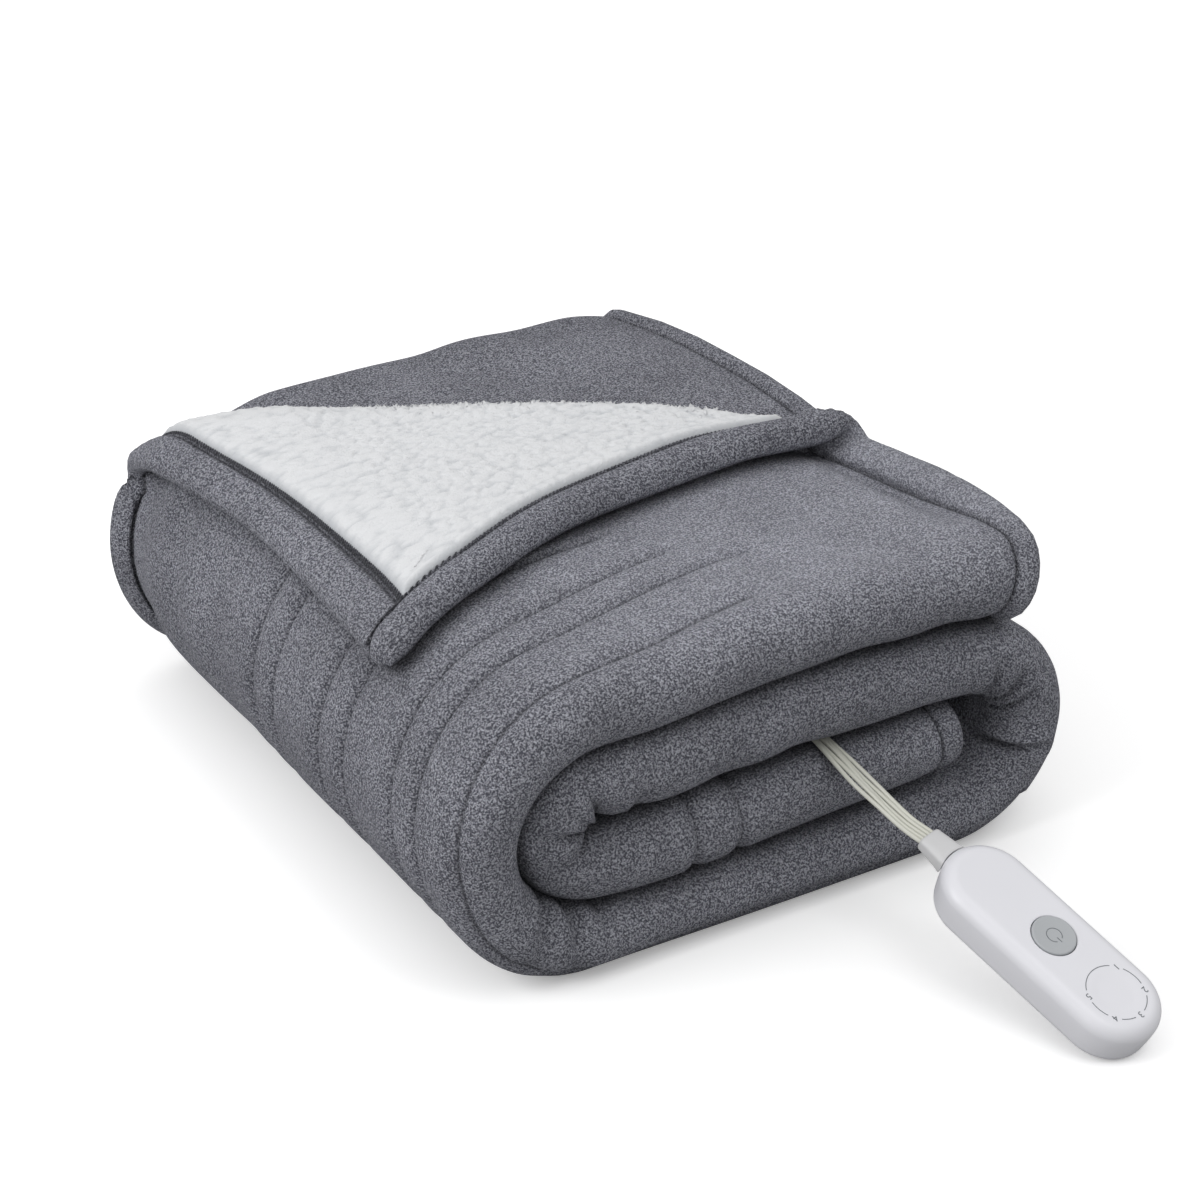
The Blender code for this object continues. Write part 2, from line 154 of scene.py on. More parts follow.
def newMaterial(name):
    mat = bpy.data.materials.new(name)
    mat.use_nodes = True
    return mat, mat.node_tree


def finished(mat, inputs):
    fillInputs(mat.node_tree, mat.node_tree.nodes["Principled BSDF"], inputs)
    return mat


def newObject(name, data):
    thing = bpy.data.objects.new(name, data)
    bpy.context.scene.collection.objects.link(thing)
    return thing


def newPiece(name, points, faces, materials, faceSlots=None, sharp=None):
    # sharp is the angle in degrees from which an edge stays sharp
    data = bpy.data.meshes.new(name)
    data.from_pydata(np.asarray(points, float).reshape(-1, 3).tolist(), [], faces)
    for mat in materials:
        data.materials.append(mat)
    if faceSlots is not None:
        data.polygons.foreach_set("material_index", np.asarray(faceSlots, np.int32))
    data.validate()
    data.shade_smooth()
    if sharp:
        mesh = bmesh.new()
        mesh.from_mesh(data)
        bmesh.ops.remove_doubles(mesh, verts=mesh.verts[:], dist=1e-6)
        bmesh.ops.recalc_face_normals(mesh, faces=mesh.faces[:])
        mesh.to_mesh(data)
        mesh.free()
        data.set_sharp_from_angle(angle=radians(sharp))
    return newObject(name, data)


def pointValues(piece, name, values):
    # a named value at each point, for the piece's material
    layer = piece.data.attributes.new(name, "FLOAT", "POINT")
    layer.data.foreach_set("value", np.asarray(values, np.float32).ravel())


def bridged(loops, closeFirst=False, closeLast=False):
    # points and faces of rings of equal count
    size = len(loops[0])
    faces = []
    for level in range(len(loops) - 1):
        for k in range(size):
            m = (k + 1) % size
            low, high = level * size, (level + 1) * size
            faces.append((low + k, low + m, high + m, high + k))
    if closeFirst:
        faces.append(tuple(range(size - 1, -1, -1)))
    if closeLast:
        faces.append(tuple(range((len(loops) - 1) * size, len(loops) * size)))
    return [p for loop in loops for p in loop], faces


def addTube(points, faces, loops):
    # adds a closed tube through its rings
    some, walls = bridged(loops, closeFirst=True, closeLast=True)
    faces += [tuple(len(points) + v for v in face) for face in walls]
    points += some


# blanket: how the cloth is folded and rolled
blanket = {
    "cloth": 0.0135,  # plush, wire layer and sherpa together
    "pitch": 0.01475,  # spacing of the three folded layers
    "topPanel": 0.455,  # outer side edge, from the near fold
    "farFold": 0.447, "innerEdge": 0.075,  # far fold and the middle panel's edge, from the near fold
    "strip": 0.453,  # width of the folded strip
    # heading of the outer end, then each stretch of the roll: length, turn, in metres and degrees
    "startHeading": 175.9,
    "roll": (
        ("top", 0.293, 9.9), ("left", 0.216, 174.2), ("bottom", 0.244, 0.0),
        ("right", 0.150, 174.0), ("second", 0.253, 12.2), ("inner", 0.080, 174.3),
        ("core", 0.239, 3.9),
    ),
    # the crease of the turned corner: where it meets the end, its slant, and the bend over it
    "creaseStart": 0.138, "crease": radians(39.5), "creaseLength": 0.40, "creaseBow": 0.069,
    "turnRadii": (0.0072, 0.0102), "turnRest": 0.0158, "turnSettle": 0.038, "turnPull": 0.041,
    "tipDrag": (0.232, -0.421), "pullReach": (0.12, 0.26), "tipReach": (0.08, 0.13), "pointReach": 0.014,
    "liftFade": 0.03,  # what changes at the crease does so over this reach
    # windows along the roll: start, its reach, end, its reach
    "leftBend": (0.30, 0.06, 0.50, 0.06), "dipSpan": (0.265, 0.05, 0.46, 0.05),
    "secondSpan": (0.93, 0.05, 1.10, 0.05), "coreSpan": (1.235, 0.03, 1.29, 0.08),
    "floorSpan": (0.47, 0.03, 0.77, 0.03), "swingSpan": (0.50, 0.15, 0.86, 0.05),
    "leftEnd": (0.44, 0.06), "outerEnd": (0.012, 0.05),
    "endSpread": 0.0040, "endSpreadReach": 0.034, "sideLift": 0.0012, "endBow": 0.016,
    # half thickness across the hem: distance from the edge, of an outer layer, of the inner ones
    "hem": (
        (0.0000, 0.0010, 0.0009), (0.0006, 0.0034, 0.0030), (0.0018, 0.0054, 0.0047),
        (0.0036, 0.0070, 0.0061), (0.0058, 0.0079, 0.0069), (0.0085, 0.0082, 0.0071),
        (0.0115, 0.0080, 0.0070), (0.0140, 0.0072, 0.0066), (0.0155, 0.0061, 0.0059),
        (0.0165, 0.0040, 0.0042), (0.0175, 0.0059, 0.0058), (0.0190, 0.0066, 0.0066),
        (0.0215, 0.0068, 0.0068),
    ),
    "hemWidth": 0.0165, "hemMiddle": 0.0082, "hemEnd": 0.0080, "hemStuffing": 0.0016,
    # sewn channels: place from the near fold, where the seam starts along the roll
    "seams": (
        (0.2475, 0.165), (0.2205, 0.165), (0.1625, 0.165),
        (0.1315, 0.190), (0.0710, 0.165), (0.0450, 0.128),
    ),
    "foldSeam": 0.75, "foldSeamStart": 0.150,
    "seamEnd": 1.294, "foldSeamEnd": 0.790, "seamDrift": 0.15, "seamSwing": 0.0034,
    "crossSeams": (1.294, 1.3225),
    "seamDepth": 0.0026, "seamWidth": 0.0021, "puff": 0.0017, "puffReach": 0.0085,
    # the outer end's hem bulges past its edge, stands up over its panel, further beside the turned corner,
    # draws in there and at the near fold, and the panel sinks beside it
    "hemSpread": 0.0050, "endLift": 0.0030, "endClimb": 0.0052, "endDraw": 0.0080, "nearRound": 0.0080,
    "endHollow": 0.0058,
    "flapDraw": 0.0100,  # the turned corner lies further from the near fold
    "flapBow": 0.0095,  # and its side edge bows in
    "tipLift": (-0.001, -0.003),  # how far its very tip draws back, along the roll and across
    "tipRound": 0.0032, "hover": 0.0026,  # its tip is round, and its hems stand clear of the panel
    "tipOver": 0.0010,  # the end hem's round end lies over the side hem
    # the side hem turns back in a wider arch: how much, how far from the edge, on what share of the crease
    "arch": (0.0030, 0.035, 0.55, 0.30),
    "sideDraw": 0.0110,  # the side edge draws in round the left end
    "leftDip": 0.0070,  # which is hollow beside its hem
    "recess": 0.0070,  # the inner loop sits deeper than the rest
    "farRound": 0.0080, "farDrop": 0.0050,  # the folded panels' far corner is round and hangs
    "secondSwell": 0.0042, "coreSwell": 0.0045,
    "sag": 0.0016,  # how far the bundle strays from an even roll
}
# soft creases on the plush side: s, w at each end, then width and depth (a negative one is a ridge)
creases = (
    (0.889, 0.476, 0.894, 0.456, 0.0034, 0.0064),  # pleats inside the right bend
    (0.862, 0.479, 0.874, 0.457, 0.0034, 0.0070),
    (0.846, 0.484, 0.858, 0.462, 0.0032, 0.0068),
    (0.804, 0.486, 0.815, 0.455, 0.0030, 0.0072),
    (0.450, 0.486, 0.468, 0.450, 0.0055, 0.0044),  # folds that fan out under the inner loop
    (0.478, 0.488, 0.494, 0.452, 0.0050, 0.0046),
    (0.506, 0.488, 0.517, 0.459, 0.0055, 0.0040),
    (1.156, 0.482, 1.163, 0.448, 0.0036, 0.0060),  # kinks in the inner loop's lip
    (1.126, 0.480, 1.136, 0.452, 0.0045, 0.0034),
    (1.184, 0.484, 1.192, 0.450, 0.0036, 0.0050),
    (1.215, 0.484, 1.212, 0.452, 0.0050, 0.0034),
    (0.062, 0.345, 0.034, 0.440, 0.0200, -0.0030),  # soft waves on the top, right of the turned corner
    (0.032, 0.320, 0.028, 0.400, 0.0110, 0.0042),
    (0.094, 0.400, 0.060, 0.470, 0.0150, 0.0024),
    (0.150, 0.410, 0.110, 0.475, 0.0180, 0.0020),
    (0.330, 0.098, 0.415, 0.112, 0.0120, 0.0030),  # left end
    (0.350, 0.150, 0.430, 0.170, 0.0160, 0.0018),
    (0.235, 0.430, 0.300, 0.475, 0.0120, 0.0018),  # near edge of the top
    (1.050, 0.440, 1.085, 0.478, 0.0120, 0.0022),
    (1.005, 0.438, 1.030, 0.476, 0.0120, 0.0020),
    (0.040, 0.960, 0.110, 0.900, 0.0160, 0.0022),  # behind the turned corner
    (0.120, 0.990, 0.170, 0.900, 0.0180, 0.0020),
)

band = blanket["pitch"] + blanket["cloth"] / 2
flatTop = blanket["topPanel"] - band
nearTurn = pi * blanket["pitch"]
farCentre = blanket["farFold"] - blanket["pitch"] / 2 - blanket["cloth"] / 2
flatInner = farCentre - band
farTurn = pi * blanket["pitch"] / 2
flatMiddle = farCentre - blanket["innerEdge"]
# places across the cloth, from its outer side edge
nearEnd = flatTop + nearTurn
farStart = nearEnd + flatInner
farEnd = farStart + farTurn
girth = farEnd + flatMiddle


def arcStep(x, z, heading, bend, along):
    straight = np.abs(bend) < 1e-9
    safe = np.where(straight, 1.0, bend)
    after = heading + bend * along
    return (np.where(straight, x + along * np.cos(heading), x + (np.sin(after) - np.sin(heading)) / safe),
            np.where(straight, z + along * np.sin(heading), z - (np.cos(after) - np.cos(heading)) / safe))


def rollRows():
    x = z = begin = 0.0
    heading = radians(blanket["startHeading"])
    rows = []
    for _, length, turn in blanket["roll"]:
        bend = radians(turn) / length
        rows.append([begin, length, x, z, heading, bend])
        x, z = (float(v) for v in arcStep(x, z, heading, bend, length))
        heading += radians(turn)
        begin += length
    rows = np.array(rows)
    rows[:, 3] += band - rows[2, 3]
    rows[:, 2] -= rows[2, 2] + rows[2, 1] / 2
    return rows


rows = rollRows()
stripLength = rows[-1, 0] + rows[-1, 1]


def onRoll(s, u, n):
    # s along the strip, u from the near fold, n outwards
    k = np.clip(np.searchsorted(rows[:, 0], s, side="right") - 1, 0, len(rows) - 1)
    begin, _, x, z, heading, bend = (rows[k, column] for column in range(6))
    bend = np.where(s < 0, 0.0, bend)
    along = s - begin
    x, z = arcStep(x, z, heading, bend, along)
    heading = heading + bend * along
    return np.stack((x + n * np.sin(heading), u - blanket["strip"] / 2 + 0 * n, z - n * np.cos(heading)), -1)


def fromCrease(s, u):
    s = s + blanket["creaseBow"] * ramp(u, 0.09, 0.30) * (1 - smooth(s / 0.40))
    return s, (u - blanket["creaseStart"]) * cos(blanket["crease"]) - s * sin(blanket["crease"])


def pastCrease(s, w):
    return fromCrease(s, blanket["topPanel"] - w)[1]


def turnedBack(s, u):
    # where the outer panel's cloth goes, and its lift
    a = blanket["crease"]
    s, past = fromCrease(s, u)
    over = np.maximum(past, 0.0)
    footS, footU = s + over * sin(a), u - over * cos(a)
    share = np.clip(footS / blanket["creaseLength"], 0, 1)
    radius = blanket["turnRadii"][0] + (blanket["turnRadii"][1] - blanket["turnRadii"][0]) * share
    wider, fromEdge, *onShare = blanket["arch"]
    radius = radius + wider * swell(u, blanket["topPanel"], fromEdge) * ramp(share, *onShare)
    halfTurn = pi * radius
    beyond = np.maximum(over - halfTurn, 0.0)
    rest = blanket["turnRest"]
    settled = rest + (2 * radius - rest) * np.exp(-(beyond / blanket["turnSettle"]) ** 1.5)
    bending = over < halfTurn
    off = np.where(bending, radius * np.sin(over / radius), -beyond)
    lift = np.where(bending, radius * (1 - np.cos(over / radius)), settled)
    newS, newU = footS - off * sin(a), footU + off * cos(a)
    newU = newU - blanket["turnPull"] * smooth(over / halfTurn) * ramp(newU, *blanket["pullReach"])
    newS = newS + blanket["tipDrag"][0] * beyond
    newU = newU + blanket["tipDrag"][1] * beyond
    drawn = ramp(beyond, *blanket["tipReach"])
    newU = newU + blanket["flapDraw"] * smooth(beyond / 0.04)
    newS = newS - blanket["flapBow"] * np.sin(pi * np.clip(beyond / 0.18, 0, 1))
    newS = newS + blanket["tipLift"][0] * drawn
    newU = newU - blanket["tipLift"][1] * drawn
    turned = past > 0
    return np.where(turned, newS, s), np.where(turned, newU, u), np.where(turned, lift, 0.0)


def bowed(s, u):
    across = np.clip((u - 0.12) / (blanket["farFold"] - 0.12), 0, 1)
    return s - blanket["endBow"] * np.sin(pi * across) * (1 - smooth(s / 0.16))


def farCorner(s, w):
    # 1 at the folded panels' corner at the outer end's far fold
    return smooth(1 - s / 0.055) * smooth(1 - np.abs(w - (farStart + farTurn / 2)) / 0.075)


def endRise(w, past):
    # the end hem climbs towards the turned-back corner
    return ramp(blanket["topPanel"] - w, 0.02, 0.10) * (1 - smooth(past / 0.035))


def rounded(s, w):
    # the turned corner's own outline, and the far corner of the folded panels
    tip = blanket["tipRound"] * smooth(1 - s / blanket["pointReach"]) * smooth(1 - w / blanket["pointReach"])
    far = farCorner(s, w)
    past = pastCrease(s, w)
    s = s + blanket["endDraw"] * endRise(w, past) * (1 - ramp(s, *blanket["outerEnd"]))
    bend = span(s, blanket["leftBend"]) * (1 - smooth(past / blanket["liftFade"]))
    onFold = ramp(w, flatTop, 0.032) * (w < girth / 2)
    s = s + blanket["nearRound"] * onFold * (1 - ramp(s, *blanket["outerEnd"]))
    w = w + blanket["sideDraw"] * bend * (1 - ramp(w, 0.012, 0.08))
    onHem = np.clip(1 - s / blanket["hemWidth"], 0, 1)
    wide = blanket["hemSpread"] * onHem * (1 - ramp(w, flatTop - 0.05, 0.05))
    return s + tip + blanket["farRound"] * far - wide, w + tip


def fullness(s):
    # the folded layers swell where they fill the gap round the inner turns
    return (blanket["secondSwell"] * span(s, blanket["secondSpan"])
            + blanket["coreSwell"] * span(s, blanket["coreSpan"]))


def dip(s, u):
    # the left end sinks in beside its hem
    return -blanket["leftDip"] * ramp(u, 0.375, 0.045) * span(s, blanket["dipSpan"])


def clothMiddle(s, w):
    # s along the roll, w across from the outer side edge
    pitch = blanket["pitch"]
    s, w = np.broadcast_arrays(np.asarray(s, float), np.asarray(w, float))
    s, w = rounded(s, w)
    full = fullness(s)
    topS, topU, lift = turnedBack(s, blanket["topPanel"] - w)
    spread, topSpread = (pitch + blanket["endSpread"] * swell(np.maximum(k, 0), 0, blanket["endSpreadReach"])
                         for k in (s, topS))
    side = blanket["sideLift"] * (1 - ramp(topS, *blanket["leftEnd"])) * ramp(topU, 0.40, 0.035)
    past = pastCrease(s, w)
    laid = 1 - smooth(past / 0.009 + 1)
    rise = endRise(w, past)
    lip = blanket["endLift"] * (1 - ramp(past, 0.02, 0.06)) + blanket["endClimb"] * rise
    lip = lip * (1 - ramp(s, 0.005, 0.019)) * ramp(topU, 0.004, 0.04)
    lip = lip - blanket["endHollow"] * swell(s, 0.031, 0.013) * rise
    onHem = 1 - ramp(np.minimum(s, w), 0.016, 0.024)
    lip = lip + blanket["hover"] * onHem * smooth(past / blanket["liftFade"])
    lip = lip + blanket["tipOver"] * (1 - ramp(s, 0.0135, 0.005)) * (1 - ramp(w, 0.014, 0.02)) * (past > 0)
    side = side + lip + dip(topS, topU) * laid * (1 - 1.17 * ramp(topU, 0.431, 0.009))
    nearW = w - flatTop
    nearAngle = nearW / pitch
    innerU = band + nearW - nearTurn
    farAngle = (nearW - nearTurn - flatInner) / (pitch / 2)
    farU = farCentre + pitch / 2 * np.sin(farAngle)
    middleU = farCentre - (nearW - nearTurn - flatInner - farTurn)
    # top panel, near turn, inner panel, far turn; what is left is the middle panel
    where = [w <= flatTop, w < nearEnd, w < farStart, w < farEnd]
    alongS = np.select(where, [topS, s, bowed(s, innerU), bowed(s, farU)], bowed(s, middleU))
    u = np.select(where, [topU, band - spread * np.sin(nearAngle), innerU, farU], middleU)
    nearby = 1 - ramp(u, 0.02, 0.12)
    u = u + blanket["recess"] * swell(s, 1.205, 0.036) * nearby
    sunk = dip(s, u) - blanket["farDrop"] * farCorner(s, w)
    bend = np.cos(nearAngle)
    n = np.select(where, [topSpread + side + lift, (spread + full * (bend < 0)) * bend, sunk - spread - full,
                          sunk - (spread + full) / 2 * (1 + np.cos(farAngle))], sunk)
    return onRoll(alongS, u, n)


def clothNormal(s, w, step=0.0004):
    along = clothMiddle(s + step, w) - clothMiddle(s - step, w)
    across = clothMiddle(s, w + step) - clothMiddle(s, w - step)
    return unit(np.cross(along, across))


# the pile lies on the cloth's inner side, which the winding's sense decides
pileSide = -1.0 if clothNormal(np.array([0.2]), np.array([0.3]))[0, 2] > 0 else 1.0


def seamShift(s, w):
    # the channels nearest the near fold run askew towards the outer end
    drift = blanket["seamDrift"] * np.clip(0.41 - s, 0, 0.245)
    onFold = 1 - (w - flatTop) / nearTurn
    w = w + blanket["seamSwing"] * span(s, blanket["swingSpan"]) * swell(onFold, 0.76, 0.22)
    onTop = 1 - ramp(blanket["topPanel"] - w, 0.066, 0.085)
    return w - drift * np.clip(np.where(w > flatTop, onFold, onTop), 0, 1)


def settle(points):
    # slow uneven waves that leave the floor and the lead's place alone
    x, y, z = points[..., 0], points[..., 1], points[..., 2]
    high = ramp(z, 0.012, 0.06) * blanket["sag"]
    dx = np.sin(23 * y + 9 * z + 0.6) + 0.6 * np.sin(41 * y - 17 * x + 2.1)
    dz = np.sin(19 * y - 14 * x + 1.2) + 0.6 * np.sin(37 * x + 25 * y + 0.4)
    return points + np.stack((dx * high * 0.8, 0 * x, dz * high), -1)


def stations(start, *stretches):
    # each stretch is its end and its number of cells
    out = []
    for end, cells in stretches:
        out.append(np.linspace(start, end, cells + 1)[:-1])
        start = end
    return np.concatenate(out + [[start]])


def seamLanes():
    top = [blanket["topPanel"] - place for place, _ in blanket["seams"]]
    return np.array(top + [flatTop + blanket["pitch"] * blanket["foldSeam"]])


def clothStations():
    # finer at the hems, the bends, the turned corner and the seams
    hem = np.array([row[0] for row in blanket["hem"]])
    inner = hem[-1]
    begin = rows[:, 0]
    along = stations(inner, (0.42, 79), (begin[2], 25), (begin[3], 20), (begin[4], 54), (begin[5], 31),
                     (begin[6], 28), (1.286, 9), (1.3305, 12), (stripLength - inner, 20))
    along = np.concatenate((hem[:-1], along, (stripLength - hem[:-1])[::-1]))
    plain = stations(inner, (0.262, 32), (0.325, 27), (flatTop, 15), (nearEnd, 19), (nearEnd + 0.03, 5),
                     (farStart - 0.03, 7), (farStart, 4), (farEnd, 7), (girth - 0.006, 10), (girth, 2))
    seams = seamLanes()
    width = blanket["seamWidth"]
    near = np.min(np.abs(plain[:, None] - seams[None, :]), axis=1)
    kept = plain[(near > width * 2.0) | (plain < inner + 1e-9) | (plain > girth - 1e-9)]
    extra = np.concatenate([seams + k * width for k in (-1.6, -0.7, 0.0, 0.7, 1.6)])
    return along, np.sort(np.concatenate((hem[:-1], kept, extra)))


def seamGap(s, lane):
    # distance to the nearest seam, and how much of a seam there is
    gap = np.full(np.broadcast(s, lane).shape, 1.0)
    runsFrom = [start for _, start in blanket["seams"]] + [blanket["foldSeamStart"]]
    runsTo = [blanket["seamEnd"]] * len(blanket["seams"]) + [blanket["foldSeamEnd"]]
    for place, start, stop in zip(seamLanes(), runsFrom, runsTo):
        gap = np.minimum(gap, np.abs(lane - place) + 0.02 * (1 - span(s, (start, 0.02, stop, 0.004))))
    for place in blanket["crossSeams"]:
        gap = np.minimum(gap, np.abs(s - place) + 0 * lane)
    return gap


def hemThickness(s, lane, column):
    # half thickness near the hems; at a corner the end hem runs over the side hem and has a round end
    hem = np.array(blanket["hem"])
    groove = blanket["hemWidth"]
    toEnd = np.minimum(s, stripLength - s)
    byEnd, bySide = (np.interp(d, hem[:, 0], hem[:, column]) for d in (toEnd, lane))
    cap = np.sqrt(np.clip(1 - (1 - lane / blanket["hemEnd"]) ** 2 * (lane < blanket["hemEnd"]), 0.03, 1))
    onEnd = toEnd < groove
    half = np.where(onEnd, byEnd * cap, np.minimum(byEnd, bySide))
    half = half * (1 - 0.6 * swell(toEnd, groove, 0.0012) * (lane < groove))
    fromGroove = np.minimum(np.abs(toEnd - groove), np.where(onEnd, 1.0, np.abs(lane - groove)))
    return half, np.minimum(toEnd, lane), fromGroove


def creaseDepth(s, w):
    depth = np.zeros(np.broadcast(s, w).shape)
    for s0, w0, s1, w1, width, deep in creases:
        ds, dw = s1 - s0, w1 - w0
        t = ((s - s0) * ds + (w - w0) * dw) / (ds * ds + dw * dw)
        tc = np.clip(t, 0, 1)
        away = np.hypot(s - s0 - tc * ds, w - w0 - tc * dw)
        fade = 1 - smooth(np.abs(tc - 0.5) * 2) * 0.55
        # a groove with a low ridge beside it
        depth += deep * fade * (swell(away, 0, width) - 0.30 * swell(away, 1.9 * width, width))
    return depth


def hemCrest(fromEdge):
    # the filling inside a hem, full at its middle
    return np.clip(1 - (fromEdge / blanket["hemMiddle"] - 1) ** 2, 0, 1)


def makeBlanket(plushMat, sherpaMat):
    along, across = clothStations()
    s, lane = along[:, None], across[None, :]
    w = seamShift(s, lane)
    s = s + 0 * w
    middle, normal = clothMiddle(s, w), clothNormal(s, w) * pileSide
    slim = ramp(s, *blanket["leftEnd"])
    full, near, fromHem = hemThickness(s, lane + 0 * s, 1)
    half = full * (1 - slim) + hemThickness(s, lane + 0 * s, 2)[0] * slim
    half = np.where(girth - w < 0.003, np.minimum(half, 0.0045), half)
    turned = smooth(pastCrease(s, w) / blanket["liftFade"]) * (w < flatTop)
    atEnd = 1 - ramp(s, 0.014, 0.003)
    stuffed = blanket["hemStuffing"] * (1 + 0.9 * atEnd) * hemCrest(near) * (1 - slim)
    gap = seamGap(s, lane)
    inside = ramp(near, 0.019, 0.01)
    groove = blanket["seamDepth"] * np.exp(-(gap / blanket["seamWidth"]) ** 1.4)
    puff = blanket["puff"] * (smooth(gap / blanket["puffReach"]) - 0.6) * inside * (gap < 0.5)
    floorFlat = span(s, blanket["floorSpan"]) * (w < flatTop)
    plushHalf = half + (puff - groove) * (1 - floorFlat) - creaseDepth(s, w) + stuffed * (1 - turned)
    liningHalf = half - 0.0008 * inside + stuffed * turned
    over = settle(middle - normal * plushHalf[..., None])
    under = settle(middle + normal * liningHalf[..., None])
    for grid in (over, under):
        grid[..., 2] = np.maximum(grid[..., 2], 0.0)
    index = np.arange(s.size).reshape(s.shape)
    a, b, c, d = index[:-1, :-1], index[1:, :-1], index[1:, 1:], index[:-1, 1:]
    upper = np.stack((a, b, c, d), -1).reshape(-1, 4)
    lower = np.stack((a, d, c, b), -1).reshape(-1, 4) + s.size
    ring = np.concatenate((index[:, 0], index[-1, 1:], index[-2::-1, -1], index[0, -2:0:-1]))
    after = np.roll(ring, -1)
    rim = np.stack((ring, ring + s.size, after + s.size, after), -1)
    faces = np.concatenate((upper, lower, rim))
    if pileSide > 0:
        faces = faces[:, ::-1]
    lining = (near[:-1, :-1] > sherpa["margin"]) & (near[1:, 1:] > sherpa["margin"])
    slots = np.concatenate((np.zeros(len(upper), int), lining.ravel().astype(int), np.zeros(len(rim), int)))
    points = np.concatenate((over.reshape(-1, 3), under.reshape(-1, 3)))
    piece = newPiece("plushBlanket", points, faces.tolist(), [plushMat, sherpaMat], slots)
    # distance to the nearest seam or hem groove, which the plush material turns into painted shade in the
    # grooves
    seamValue = np.minimum(np.minimum(gap, fromHem), 0.02)
    lapped = np.minimum(fromHem + 0.0004 * (lane > blanket["hemWidth"]), 0.02)
    pointValues(piece, "seam", np.concatenate((seamValue.ravel(), lapped.ravel())))
    # a painted pool of light on the top panel near the outer end: the plush is lighter there and its nubs
    # more even
    paintedLightPatch = 0.34 * smooth((0.36 - s) / 0.22) * smooth((0.46 - w) / 0.05) * ramp(w, 0.10, 0.18)
    pointValues(piece, "paintedLightPatch", np.concatenate((paintedLightPatch.ravel(), 0 * paintedLightPatch.ravel())))
    print("blanket:", len(faces), "faces")
    return piece


# sherpa lining on the turned corner
sherpa = {
    "margin": 0.0185,  # from the cloth's edge
    "foot": 0.0085,  # where it starts, past the crease
    "rings": 250,
    "base": 0.0060, "pile": 0.0034,  # over the cloth's middle, and the pile's height over that
    "curl": 0.0068, "curlHeight": 0.0017,  # curls drawn a little coarser than real ones
    "fineCurl": 0.0030, "fineHeight": 0.0014,
    "tufts": 3400, "tuftLength": 0.0044, "tuftWidth": 0.0024,
}


def liningReach(lean):
    # distance from the lining's corner to the foot of the bend, for each lean of the ray
    low, high = np.full_like(lean, 0.10), np.full_like(lean, 0.90)
    for _ in range(30):
        middle = (low + high) / 2
        s = sherpa["margin"] + middle * (1 - lean)
        w = sherpa["margin"] + middle * lean
        out = pastCrease(s, w) > sherpa["foot"]
        low, high = np.where(out, middle, low), np.where(out, high, middle)
    return low


def cellLumps(x, y, size, seed):
    # rounded lumps round the points of a jittered grid, 0 in the gaps and up to 1 on top
    rng = np.random.default_rng(seed)
    table = rng.random((64, 64, 3))
    cx, cy = np.floor(x / size).astype(int), np.floor(y / size).astype(int)
    first = np.full(x.shape, 9.0)
    height = np.zeros(x.shape)
    for i in (-1, 0, 1):
        for j in (-1, 0, 1):
            cell = table[(cx + i) % 64, (cy + j) % 64]
            px = (cx + i + 0.15 + 0.7 * cell[..., 0]) * size
            py = (cy + j + 0.15 + 0.7 * cell[..., 1]) * size
            far = np.hypot(x - px, y - py) / size
            closer = far < first
            first = np.where(closer, far, first)
            height = np.where(closer, 0.55 + 0.45 * cell[..., 2], height)
    return height * np.clip(1 - (first / 0.85) ** 2, 0, 1)


def sherpaHeight(s, w):
    warpS = s + 0.0007 * np.sin(w * 760 + 3 * np.sin(s * 310))
    warpW = w + 0.0007 * np.sin(s * 700 + 3 * np.sin(w * 270))
    coarse = cellLumps(warpS, warpW, sherpa["curl"], 3)
    fine = cellLumps(warpS + 0.3, warpW + 0.2, sherpa["fineCurl"], 8)
    slow = 0.5 + 0.5 * np.sin(s * 61 + 2.0 * np.sin(w * 47)) * np.sin(w * 53 + 1.3)
    return sherpa["curlHeight"] * coarse * (0.55 + 0.45 * slow) + sherpa["fineHeight"] * fine, coarse


